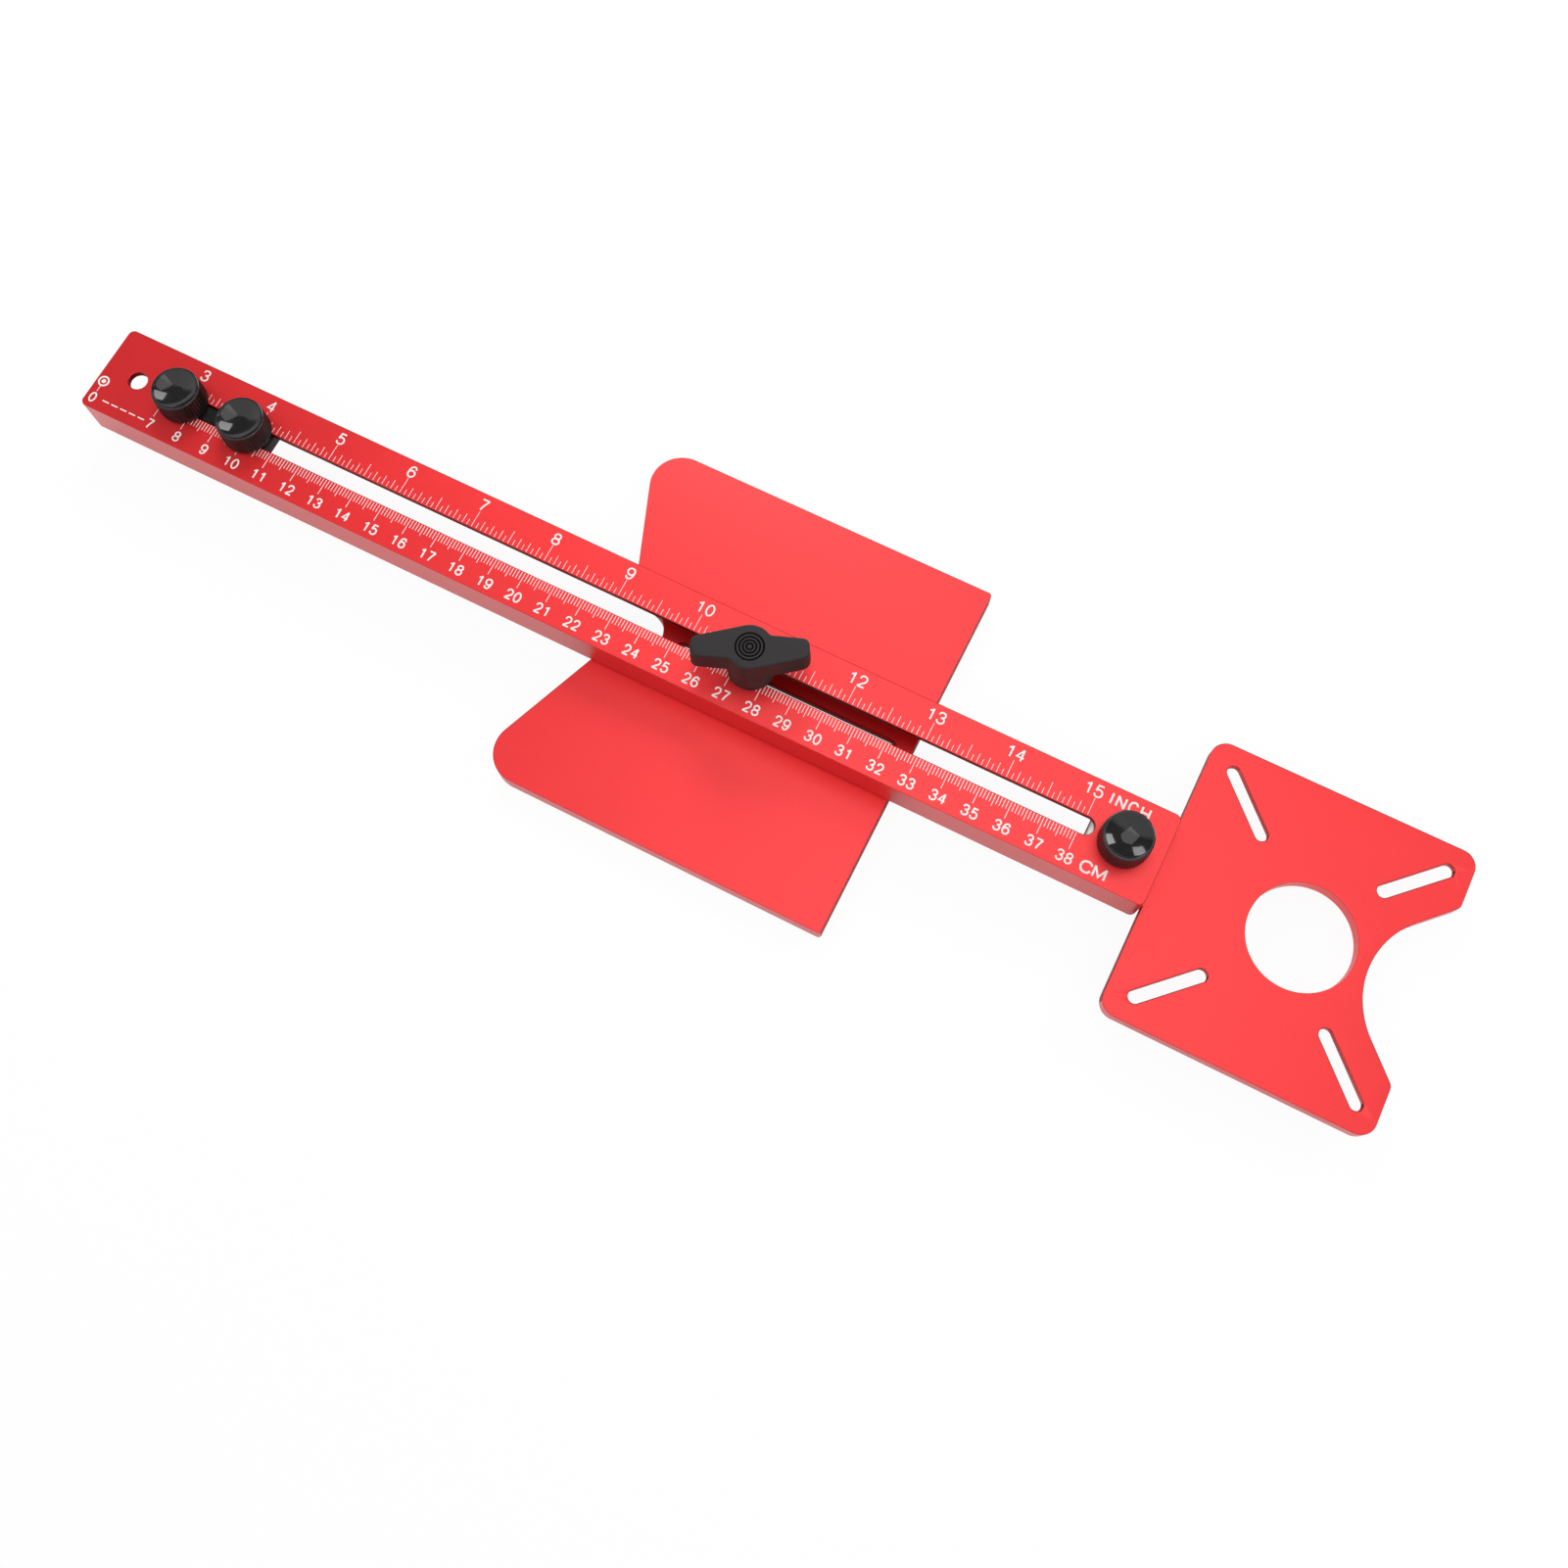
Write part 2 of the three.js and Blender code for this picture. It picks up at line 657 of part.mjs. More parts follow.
function makeFenceBolt() {
  const radius = screwDiameter / 2;
  const headTop = fenceBottom + boltRecessDepth - seatGap;
  const head = turned([
    [0, headTop - boltHeadHeight],
    [boltHeadAcrossFlats / Math.sqrt(3) - screwTipChamfer, headTop - boltHeadHeight],
    [boltHeadAcrossFlats / Math.sqrt(3), headTop - boltHeadHeight + screwTipChamfer],
    [boltHeadAcrossFlats / Math.sqrt(3), headTop],
    [0, headTop],
  ], hexSides).rotateZ(Math.PI / 2);
  const shankTop = knobUnderside + boltReachAboveWasher;
  const shank = turned([
    [0, headTop - boltHeadHeight / 2],
    [radius, headTop - boltHeadHeight / 2],
    [radius, shankTop - screwTipChamfer],
    [radius - screwTipChamfer, shankTop],
    [0, shankTop],
  ], smallRoundSides);
  return join(head, shank);
}

function piece(name, finish, geometry, x = 0, z = 0) {
  const mesh = new THREE.Mesh(geometry, new THREE.MeshStandardMaterial(finishes[finish]));
  mesh.name = name;
  mesh.position.set(x, 0, z);
  return mesh;
}

function washer(name, finish, diameter, x) {
  return piece(name, finish, tubeRing(diameter, screwHoleDiameter, 0, washerThickness), x, seatGap);
}

const jig = new THREE.Group();

jig.add(
  piece('scale_bar', 'redAnodised', makeBar()),
  piece('router_base_plate', 'redAnodised', makeRouterBasePlate()),
  piece('tongue_spacer', 'bareAluminium', makeTongueSpacer()),
  washer('end_knob_washer', 'zincSteel', washerDiameter, endKnobAxis),
  piece('end_knob', 'glossBlack', makeRoundKnob(), endKnobAxis, knobSkirtGap),
  piece(
    'end_knob_stud', 'zincSteel',
    makeStud(barUnderside + endStudTipGap, knobUnderside + studReachIntoKnob), endKnobAxis,
  ),
);

const slider = new THREE.Group();
slider.position.x = sliderCentre;
slider.add(
  piece('slider_block', 'mattBlack', makeSliderBlock()),
  piece('pivot_pin', 'zincSteel', makePivotPin()),
);
for (const [side, direction] of [['left', -1], ['right', 1]]) {
  const x = direction * sliderKnobSpacing / 2;
  slider.add(
    piece(`slider_insert_${side}`, 'brass', makeSliderInsert(), x),
    washer(`slider_washer_${side}`, 'zincSteel', washerDiameter, x),
    piece(`slider_knob_${side}`, 'glossBlack', makeRoundKnob(), x, knobSkirtGap),
    piece(
      `slider_stud_${side}`, 'zincSteel',
      makeStud(sliderBlockBottom, knobUnderside + studReachIntoKnob), x,
    ),
  );
}
jig.add(slider);

const fence = new THREE.Group();
fence.position.x = fenceAxis;
const wingKnob = piece('wing_knob', 'mattBlack', makeWingKnob(), 0, knobUnderside);
wingKnob.rotation.z = wingRestAngle;
fence.add(
  piece('fence_plate', 'redAnodised', makeFencePlate()),
  piece('fence_bolt', 'zincSteel', makeFenceBolt()),
  washer('wing_washer', 'mattBlack', wingWasherDiameter, 0),
  wingKnob,
  piece(
    'wing_knob_insert', 'brass',
    tubeRing(wingInsertDiameter, screwHoleDiameter, fitGap, wingInsertLength), 0, knobUnderside,
  ),
);
jig.add(fence);

// The origin is the middle of the whole jig in plan, at the height of its lowest face
jig.updateMatrixWorld(true);
const extent = new THREE.Box3().setFromObject(jig);
jig.position.set(
  -(extent.min.x + extent.max.x) / 2,
  -(extent.min.y + extent.max.y) / 2,
  -extent.min.z,
);
jig.updateMatrixWorld(true);

export default jig;
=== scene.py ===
import math
import bmesh
import bpy
from mathutils import Matrix, Vector
from mathutils.geometry import tessellate_polygon


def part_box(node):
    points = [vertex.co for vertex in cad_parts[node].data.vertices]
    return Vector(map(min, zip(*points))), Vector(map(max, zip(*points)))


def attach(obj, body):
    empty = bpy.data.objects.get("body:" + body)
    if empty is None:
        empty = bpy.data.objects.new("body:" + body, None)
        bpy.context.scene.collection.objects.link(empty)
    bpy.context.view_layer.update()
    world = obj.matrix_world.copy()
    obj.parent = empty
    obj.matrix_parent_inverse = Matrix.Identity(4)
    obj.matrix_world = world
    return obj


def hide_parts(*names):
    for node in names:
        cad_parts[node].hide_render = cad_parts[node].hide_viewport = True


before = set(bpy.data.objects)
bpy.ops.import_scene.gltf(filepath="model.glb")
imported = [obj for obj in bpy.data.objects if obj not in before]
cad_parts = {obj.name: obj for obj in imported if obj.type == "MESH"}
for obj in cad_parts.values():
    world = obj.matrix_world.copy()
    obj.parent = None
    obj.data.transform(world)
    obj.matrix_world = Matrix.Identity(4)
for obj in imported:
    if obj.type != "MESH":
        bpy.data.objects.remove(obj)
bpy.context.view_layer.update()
mm = 0.001  # the frame is in metres, and sizes below are written in millimetres


# Outlines, all drawn anticlockwise and seen from above

curves = {"arcStep": math.radians(4), "arrisSteps": 3, "latheSides": 96, "sharpAngle": math.radians(34),
          "weld": 0.0005 * mm}


def arc(centre, radius, start, sweep):
    count = max(3, math.ceil(abs(sweep) / curves["arcStep"]))
    turns = [start + sweep * k / count for k in range(count + 1)]
    return [(centre[0] + radius * math.cos(t), centre[1] + radius * math.sin(t)) for t in turns]


def circlePath(centre, radius):
    return arc(centre, radius, 0, math.tau)[:-1]


def slotPath(centre, length, width, turn=0.0):
    reach, radius = (length - width) / 2, width / 2
    along = Vector((math.cos(turn), math.sin(turn))) * reach
    middle = Vector(centre)
    far = arc(middle + along, radius, turn - math.pi / 2, math.pi)
    near = arc(middle - along, radius, turn + math.pi / 2, math.pi)
    return far + near


def roundedPath(corners):
    path = []
    for index, (x, y, radius) in enumerate(corners):
        corner = Vector((x, y))
        if radius == 0:
            path.append((x, y))
            continue
        toBefore = (Vector(corners[index - 1][:2]) - corner).normalized()
        toAfter = (Vector(corners[(index + 1) % len(corners)][:2]) - corner).normalized()
        half = toBefore.angle(toAfter) / 2
        centre = corner + (toBefore + toAfter).normalized() * radius / math.sin(half)
        first = corner + toBefore * radius / math.tan(half) - centre
        last = corner + toAfter * radius / math.tan(half) - centre
        start = math.atan2(first.y, first.x)
        sweep = (math.atan2(last.y, last.x) - start + math.pi) % math.tau - math.pi
        path += arc(centre, radius, start, sweep)
    return path


def rectanglePath(left, right, half, radius):
    return roundedPath([(left, -half, radius), (right, -half, radius),
                        (right, half, radius), (left, half, radius)])


def offsetPath(path, distance):  # inwards where the distance is positive
    moved = []
    for index, point in enumerate(path):
        before, here, after = Vector(path[index - 1]), Vector(point), Vector(path[(index + 1) % len(path)])
        first, second = (here - before).normalized(), (after - here).normalized()
        inward = Vector((-first.y, first.x))
        side = (inward + Vector((-second.y, second.x))).normalized()
        moved.append(tuple(here + side * distance / side.dot(inward)))
    return moved


def wallRings(path, bottom, top, lowArris, highArris, inward=1):  # inward is -1 for the wall of a hole
    quarter = [math.pi / 2 * k / curves["arrisSteps"] for k in range(curves["arrisSteps"] + 1)]
    low = [(offsetPath(path, inward * lowArris * (1 - math.sin(t))), bottom + lowArris * (1 - math.cos(t)))
           for t in quarter]
    high = [(offsetPath(path, inward * highArris * (1 - math.sin(t))), top - highArris * (1 - math.cos(t)))
            for t in reversed(quarter)]
    return low + high


# Meshes

def patch(loops, points):
    corners = [index for loop in loops for index in loop]
    triangles = tessellate_polygon([[Vector(points[index]) for index in loop] for loop in loops])
    return [tuple(corners[k] for k in triangle) for triangle in triangles]


def newPiece(name, points, faces):
    mesh = bpy.data.meshes.new(name)
    mesh.from_pydata(points, [], faces)
    edit = bmesh.new()
    edit.from_mesh(mesh)
    bmesh.ops.remove_doubles(edit, verts=edit.verts, dist=curves["weld"])
    bmesh.ops.recalc_face_normals(edit, faces=edit.faces)
    edit.to_mesh(mesh)
    edit.free()
    piece = bpy.data.objects.new(name, mesh)
    bpy.context.scene.collection.objects.link(piece)
    return piece


def walled(name, outer, holes=()):  # rings run from the bottom face up to the top face
    points, faces, caps = [], [], ([], [])
    for rings in (outer, *holes):
        loops = []
        for path, height in rings:
            loops.append(range(len(points), len(points) + len(path)))
            points.extend((x, y, height) for x, y in path)
        for lower, upper in zip(loops, loops[1:]):
            if len(lower) == len(upper):
                faces.extend((lower[k - 1], lower[k], upper[k], upper[k - 1]) for k in range(len(lower)))
            else:
                faces.extend(patch([lower, upper], points))
        caps[0].append(loops[0])
        caps[1].append(loops[-1])
    for loops in caps:
        faces.extend(patch(loops, points))
    return newPiece(name, points, faces)


def turned(name, profile, centre, sides=curves["latheSides"], ring=False):  # profile: (radius, height) pairs
    points, faces, loops = [], [], []
    for radius, height in profile:
        count = sides if radius > 0 else 1
        loops.append([len(points) + k for k in range(count)])
        turns = [math.tau * k / sides for k in range(count)]
        points.extend((centre[0] + radius * math.cos(t), centre[1] + radius * math.sin(t), height)
                      for t in turns)
    for lower, upper in zip(loops, loops[1:] + (loops[:1] if ring else [])):
        for k in range(sides):
            quad = [lower[k - 1 if len(lower) > 1 else 0], lower[k if len(lower) > 1 else 0],
                    upper[k if len(upper) > 1 else 0], upper[k - 1 if len(upper) > 1 else 0]]
            faces.append(tuple(dict.fromkeys(quad)))
    return newPiece(name, points, faces)


def bake(piece):
    evaluated = piece.evaluated_get(bpy.context.evaluated_depsgraph_get())
    old, piece.data = piece.data, bpy.data.meshes.new_from_object(evaluated)
    piece.modifiers.clear()
    bpy.data.meshes.remove(old)
    return piece


def combine(piece, operation, *others):
    for other in others:
        change = piece.modifiers.new(other.name, "BOOLEAN")
        change.operation, change.solver, change.object = operation, "EXACT", other
    bake(piece)
    for other in others:
        bpy.data.objects.remove(other)
    return piece


def place(piece, material, body, slot, *nodes):
    mesh = piece.data
    mesh.polygons.foreach_set("use_smooth", [True] * len(mesh.polygons))
    mesh.set_sharp_from_angle(angle=curves["sharpAngle"])
    weighted = piece.modifiers.new("Weighted normals", "WEIGHTED_NORMAL")
    weighted.keep_sharp = True
    bake(piece)
    piece.data.materials.clear()
    piece.data.materials.append(material)
    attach(piece, body)
    if nodes:
        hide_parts(*nodes)


def measure(node):  # the corners of a node's box, and its axis as seen from above
    low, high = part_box(node)
    return low, high, ((low.x + high.x) / 2, 0)


# The red pieces get painted shade, deepest on ends, far arrises and walls inside cuts, and less deep on what
# faces the front. Limits are for the parts of a face's normal, and shades count through a piece's materials
paintedShadeLimits = {"uprightBelow": 0.1, "flatAbove": 0.97, "endAbove": 0.9, "farAbove": 0.1, "frontBelow": -0.6}
shade = {"plain": 0, "cut": 1, "side": 2}


def dressEdges(piece, inside):
    piece.data.materials.append(redWithPaintedDeepShade)
    piece.data.materials.append(redWithPaintedSideShade)
    for face in piece.data.polygons:
        x, y, z = face.normal
        if abs(z) < paintedShadeLimits["uprightBelow"]:
            deep, front = abs(x) > paintedShadeLimits["endAbove"] or inside(face.center), y < paintedShadeLimits["frontBelow"]
            face.material_index = shade["cut"] if deep else shade["side"] if front else shade["plain"]
        elif abs(z) < paintedShadeLimits["flatAbove"]:
            deep = abs(x) > paintedShadeLimits["endAbove"] or y > paintedShadeLimits["farAbove"]
            face.material_index = shade["cut"] if deep else shade["side"]


# Node groups

def newTree(name, inputs):
    tree = bpy.data.node_groups.new(name, "GeometryNodeTree")
    tree.interface.new_socket("Geometry", in_out="INPUT", socket_type="NodeSocketGeometry")
    for label, kind in inputs:
        tree.interface.new_socket(label, in_out="INPUT", socket_type="NodeSocket" + kind)
    tree.interface.new_socket("Geometry", in_out="OUTPUT", socket_type="NodeSocketGeometry")
    return tree, tree.nodes.new("NodeGroupInput").outputs, tree.nodes.new("NodeGroupOutput")


def addNode(tree, kind, inputs=(), **settings):
    node = tree.nodes.new(kind)
    for name, value in settings.items():
        setattr(node, name, value)
    for key, value in dict(inputs).items():
        if isinstance(value, bpy.types.NodeSocket):
            tree.links.new(value, node.inputs[key])
        else:
            node.inputs[key].default_value = value
    return node.outputs


def calc(tree, operation, *values):
    return addNode(tree, "ShaderNodeMath", enumerate(values), operation=operation)[0]


def runTree(piece, tree, values):
    change = piece.modifiers.new(tree.name, "NODES")
    change.node_group = tree
    for item in tree.interface.items_tree:
        if item.in_out == "INPUT" and item.name in values:
            change[item.identifier] = values[item.name]
    return bake(piece)


def closeTree(tree, result, geometry, material):
    real = addNode(tree, "GeometryNodeRealizeInstances", {0: geometry})[0]
    dressed = addNode(tree, "GeometryNodeSetMaterial", {"Geometry": real, "Material": material})[0]
    tree.links.new(dressed, result.inputs[0])


# Ribs or a screw thread: a turned surface drawn in by a wave that runs round it and along it
def rippleTree():
    tree, given, result = newTree("Ripple", [
        ("Centre", "Vector"), ("Count", "Int"), ("Depth", "Float"), ("Turns per metre", "Float"),
        ("Bottom", "Float"), ("Top", "Float"), ("Fade", "Float"), ("Inner radius", "Float"),
        ("Crispness", "Float"), ("Material", "Material")])
    here = addNode(tree, "GeometryNodeInputPosition")[0]
    local = addNode(tree, "ShaderNodeVectorMath", {0: here, 1: given["Centre"]}, operation="SUBTRACT")[0]
    x, y, z = addNode(tree, "ShaderNodeSeparateXYZ", {0: local})
    radius = calc(tree, "SQRT", calc(tree, "ADD", calc(tree, "MULTIPLY", x, x), calc(tree, "MULTIPLY", y, y)))
    along = calc(tree, "MULTIPLY", calc(tree, "MULTIPLY", z, given["Turns per metre"]), math.tau)
    phase = calc(tree, "SUBTRACT", calc(tree, "MULTIPLY", calc(tree, "ARCTAN2", y, x), given["Count"]), along)
    wave = calc(tree, "MULTIPLY_ADD", calc(tree, "COSINE", phase), -0.5, 0.5)
    groove = calc(tree, "POWER", wave, given["Crispness"])
    rise, fall = (addNode(tree, "ShaderNodeMapRange", {
        "Value": z, "From Min": given[end], "From Max": calc(tree, operation, given[end], given["Fade"])},
        interpolation_type="SMOOTHSTEP")[0] for end, operation in (("Bottom", "ADD"), ("Top", "SUBTRACT")))
    outside = calc(tree, "GREATER_THAN", radius, given["Inner radius"])
    mask = calc(tree, "MULTIPLY", calc(tree, "MULTIPLY", rise, fall), outside)
    inwards = calc(tree, "MULTIPLY", given["Depth"], -1.0)
    pull = calc(tree, "MULTIPLY", calc(tree, "MULTIPLY", groove, mask), inwards)
    share = calc(tree, "DIVIDE", pull, calc(tree, "MAXIMUM", radius, given["Inner radius"]))
    flat = addNode(tree, "ShaderNodeCombineXYZ", {0: x, 1: y})[0]
    shift = addNode(tree, "ShaderNodeVectorMath", {0: flat, "Scale": share}, operation="SCALE")[0]
    moved = addNode(tree, "GeometryNodeSetPosition", {"Geometry": given["Geometry"], "Offset": shift})[0]
    closeTree(tree, result, moved, given["Material"])
    return tree


# Scale marks: a row of thin ink bars whose length follows their number
def marksTree():
    tree, given, result = newTree("Scale marks", [
        ("First", "Vector"), ("Step", "Float"), ("Count", "Int"),
        ("Middle every", "Int"), ("Half every", "Int"), ("Whole every", "Int"),
        ("Fine length", "Float"), ("Middle length", "Float"),
        ("Half length", "Float"), ("Whole length", "Float"),
        ("Side", "Float"), ("Thickness", "Float"), ("Ink depth", "Float"), ("Material", "Material")])
    step = addNode(tree, "ShaderNodeCombineXYZ", {0: given["Step"]})[0]
    row = addNode(tree, "GeometryNodeMeshLine", {
        "Count": given["Count"], "Start Location": given["First"], "Offset": step}, mode="OFFSET")[0]
    # a quarter is added so that no whole number is rounded down to the one before
    number = calc(tree, "ADD", addNode(tree, "GeometryNodeInputIndex")[0], 0.25)
    length = given["Fine length"]
    for kind in ("Middle", "Half", "Whole"):
        rest = calc(tree, "FLOORED_MODULO", number, given[kind + " every"])
        chosen = calc(tree, "LESS_THAN", rest, 0.5)
        difference = calc(tree, "SUBTRACT", given[kind + " length"], length)
        length = calc(tree, "MULTIPLY_ADD", difference, chosen, length)
    reach = calc(tree, "MULTIPLY", calc(tree, "MULTIPLY", length, given["Side"]), 0.5)
    shift = addNode(tree, "ShaderNodeCombineXYZ", {1: reach})[0]
    size = addNode(tree, "ShaderNodeCombineXYZ", {0: given["Thickness"], 1: length, 2: given["Ink depth"]})[0]
    stored = addNode(tree, "GeometryNodeStoreNamedAttribute", {
        "Geometry": row, "Name": "size", "Value": size}, data_type="FLOAT_VECTOR", domain="POINT")[0]
    moved = addNode(tree, "GeometryNodeSetPosition", {"Geometry": stored, "Offset": shift})[0]
    block = addNode(tree, "GeometryNodeMeshCube", {"Size": (1, 1, 1)})[0]
    named = addNode(tree, "GeometryNodeInputNamedAttribute", {"Name": "size"}, data_type="FLOAT_VECTOR")[0]
    marks = addNode(tree, "GeometryNodeInstanceOnPoints", {
        "Points": moved, "Instance": block, "Scale": named})[0]
    closeTree(tree, result, marks, given["Material"])
    return tree


ripple = rippleTree()
scaleMarks = marksTree()
print("Node groups ready")


# Materials. Each has its colour and roughness from noise on Object coordinates, and most have relief as well

def newMaterial(name, values):
    material = bpy.data.materials.new(name)
    material.use_nodes = True
    tree = material.node_tree
    shader = tree.nodes["Principled BSDF"]
    for socket, value in values.items():
        shader.inputs[socket].default_value = value
    return material, tree, shader, addNode(tree, "ShaderNodeTexCoord")["Object"]


def noise(tree, coordinates, scale, detail=2.0, roughness=0.5):
    return addNode(tree, "ShaderNodeTexNoise", {
        "Vector": coordinates, "Scale": scale, "Detail": detail, "Roughness": roughness})["Fac"]


noiseRange = (0.3, 0.7)  # where nearly all of a noise lies


def spread(tree, value, low, high):
    return addNode(tree, "ShaderNodeMapRange", {
        "Value": value, "From Min": noiseRange[0], "From Max": noiseRange[1],
        "To Min": low, "To Max": high})[0]


def blendColours(tree, factor, first, second):
    node = tree.nodes.new("ShaderNodeMix")
    node.data_type = "RGBA"
    tree.links.new(factor, node.inputs[0])
    for socket, value in ((node.inputs[6], first), (node.inputs[7], second)):
        if isinstance(value, bpy.types.NodeSocket):
            tree.links.new(value, socket)
        else:
            socket.default_value = (*value, 1)
    return node.outputs[2]


def relief(tree, shader, height, strength, distance):
    bump = addNode(tree, "ShaderNodeBump", {"Height": height, "Strength": strength, "Distance": distance})[0]
    tree.links.new(bump, shader.inputs["Normal"])


anodised = {
    "deep": (0.78, 0.004, 0.008), "bright": (0.88, 0.008, 0.012), "worn": (0.88, 0.34, 0.34),
    # the side and cut reds are darker copies of the red that paint shade on sides, ends, arrises and cut
    # walls
    "deepSide": (0.57, 0.003, 0.005), "side": (0.66, 0.004, 0.007),
    "cut": (0.27, 0.006, 0.010), "deepCut": (0.18, 0.003, 0.006),
    "metallic": 0.72, "coatRoughness": 0.38, "roughness": (0.43, 0.51), "cutRoughness": (0.45, 0.55),
    "cloudScale": 22, "grainScale": 2600, "grainShare": 0.45, "grainStrength": 0.22,
    "grainHeight": 0.012 * mm, "speckScale": 75, "speckSize": 0.022, "speckRareAbove": 0.9,
}


def redAnodised(name, deep, bright):
    a = anodised
    material, tree, shader, here = newMaterial(name, {
        "Metallic": a["metallic"], "Roughness": sum(a["roughness"]) / 2,
        "Coat Weight": 1.0, "Coat Roughness": a["coatRoughness"], "Coat IOR": 1.5})
    cloud = noise(tree, here, a["cloudScale"], 3)
    grain = noise(tree, here, a["grainScale"], 2)
    cloudPart = calc(tree, "MULTIPLY", cloud, 1 - a["grainShare"])
    both = calc(tree, "MULTIPLY_ADD", grain, a["grainShare"], cloudPart)
    base = blendColours(tree, spread(tree, both, 0, 1), deep, bright)
    cells = addNode(tree, "ShaderNodeTexVoronoi", {"Vector": here, "Scale": a["speckScale"]})
    chance = addNode(tree, "ShaderNodeSeparateColor", {0: cells["Color"]})[0]
    rare = calc(tree, "GREATER_THAN", chance, a["speckRareAbove"])
    speck = calc(tree, "MULTIPLY", calc(tree, "LESS_THAN", cells["Distance"], a["speckSize"]), rare)
    tree.links.new(blendColours(tree, speck, base, a["worn"]), shader.inputs["Base Color"])
    tree.links.new(spread(tree, both, *a["roughness"]), shader.inputs["Roughness"])
    relief(tree, shader, grain, a["grainStrength"], a["grainHeight"])
    return material


# A darker red that paints the deep shade on ends, far arrises and walls inside cuts
def cutAnodised():
    material, tree, shader, here = newMaterial("Red anodised with painted deep shade", {"Metallic": 1.0})
    grain = noise(tree, here, anodised["grainScale"], 2)
    tree.links.new(blendColours(tree, spread(tree, grain, 0, 1), anodised["cut"], anodised["deepCut"]),
                   shader.inputs["Base Color"])
    tree.links.new(spread(tree, grain, *anodised["cutRoughness"]), shader.inputs["Roughness"])
    return material


whitePrint = {"dim": (0.78, 0.76, 0.75), "bright": (0.84, 0.82, 0.81), "roughness": (0.38, 0.55),
              "patchScale": 900, "grainScale": 2400}


def printedInk():
    w = whitePrint
    material, tree, shader, here = newMaterial("White print", {"Roughness": 0.45})
    patchy = spread(tree, noise(tree, here, w["patchScale"], 3), 0, 1)
    tree.links.new(blendColours(tree, patchy, w["dim"], w["bright"]), shader.inputs["Base Color"])
    grain = noise(tree, here, w["grainScale"])
    tree.links.new(spread(tree, grain, *w["roughness"]), shader.inputs["Roughness"])
    return material


def blackPlastic(name, colours, roughness, grainScale, grainHeight, strength, shine=0.5, handledScale=160):
    material, tree, shader, here = newMaterial(name, {"IOR": 1.5, "Specular IOR Level": shine})
    grain = noise(tree, here, grainScale, 3, 0.6)
    handled = noise(tree, here, handledScale, 4, 0.6)
    tree.links.new(blendColours(tree, spread(tree, handled, 0, 1), *colours), shader.inputs["Base Color"])
    tree.links.new(spread(tree, handled, *roughness), shader.inputs["Roughness"])
    relief(tree, shader, grain, strength, grainHeight)
    return material


def bareMetal(name, colours, roughness, grainScale, streak, metallic=1.0, wearScale=300):
    material, tree, shader, here = newMaterial(name, {"Metallic": metallic})
    drawn = addNode(tree, "ShaderNodeMapping", {"Vector": here, "Scale": streak})[0]
    grain = noise(tree, drawn, grainScale, 3, 0.6)
    tree.links.new(blendColours(tree, spread(tree, grain, 0, 1), *colours), shader.inputs["Base Color"])
    tree.links.new(spread(tree, noise(tree, here, wearScale, 3), *roughness), shader.inputs["Roughness"])
    relief(tree, shader, grain, strength=0.25, distance=0.01 * mm)
    return material


red = redAnodised("Red anodised aluminium", anodised["deep"], anodised["bright"])
# Painted shade: a darker red for what faces the front, and a deep one for ends, far arrises and cut walls
redWithPaintedSideShade = redAnodised("Red anodised with painted side shade", anodised["deepSide"], anodised["side"])
redWithPaintedDeepShade = cutAnodised()
ink = printedInk()
glossBlack = blackPlastic(
    "Gloss black plastic", colours=((0.010, 0.010, 0.011), (0.016, 0.015, 0.016)), roughness=(0.06, 0.12),
    grainScale=1400, grainHeight=0.01 * mm, strength=0.10, shine=0.42)
gripBlack = blackPlastic(
    "Satin black plastic", colours=((0.007, 0.006, 0.006), (0.012, 0.010, 0.010)), roughness=(0.30, 0.42),
    grainScale=1800, grainHeight=0.02 * mm, strength=0.15, shine=0.4)
# A rougher black for the knobs' pip, whose lighter colour paints a soft highlight
pipHighlightBlack = blackPlastic(
    "Black with painted pip highlight", colours=((0.022, 0.020, 0.021), (0.034, 0.031, 0.032)), roughness=(0.36, 0.48),
    grainScale=1800, grainHeight=0.02 * mm, strength=0.3)
mattBlack = blackPlastic(
    "Matt black plastic", colours=((0.008, 0.006, 0.006), (0.014, 0.011, 0.011)), roughness=(0.46, 0.60),
    grainScale=2200, grainHeight=0.03 * mm, strength=0.55, shine=0.36)
zincSteel = bareMetal(
    "Zinc plated steel", colours=((0.52, 0.54, 0.57), (0.68, 0.69, 0.70)), roughness=(0.24, 0.38),
    grainScale=900, streak=(1, 1, 1))
milledAluminium = bareMetal(
    "Milled aluminium", colours=((0.74, 0.74, 0.72), (0.86, 0.85, 0.83)), roughness=(0.42, 0.56),
    grainScale=1500, streak=(0.06, 1, 1), metallic=0.4)
# near-black aluminium that paints the shade on the spacer's end
paintedShadeAluminium = bareMetal(
    "Aluminium with painted shade", colours=((0.05, 0.045, 0.045), (0.10, 0.09, 0.09)), roughness=(0.5, 0.65),
    grainScale=1500, streak=(1, 0.06, 1))
brass = bareMetal(
    "Turned brass", colours=((0.62, 0.40, 0.13), (0.76, 0.54, 0.22)), roughness=(0.25, 0.38),
    grainScale=1100, streak=(1, 1, 0.2))
print("Materials ready")


# Scale bar

barLow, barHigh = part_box("scale_bar")
barFoot, barTop, barHalf = barLow.z, barHigh.z, barHigh.y
bar = {
    "roof": 2.0 * mm, "wall": 2.4 * mm, "cornerRadius": 2.0 * mm, "arris": 0.22 * mm, "rootFillet": 0.8 * mm,
    "slotWidth": 5.6 * mm, "slotMargin": 21.1 * mm, "holeRadius": 3.0 * mm, "holeMargin": 12.1 * mm,
    "cutEdge": 0.22 * mm, "overrun": 1.0 * mm,
}
channelHalf = barHalf - bar["wall"]
channelRoof = barTop - bar["roof"]


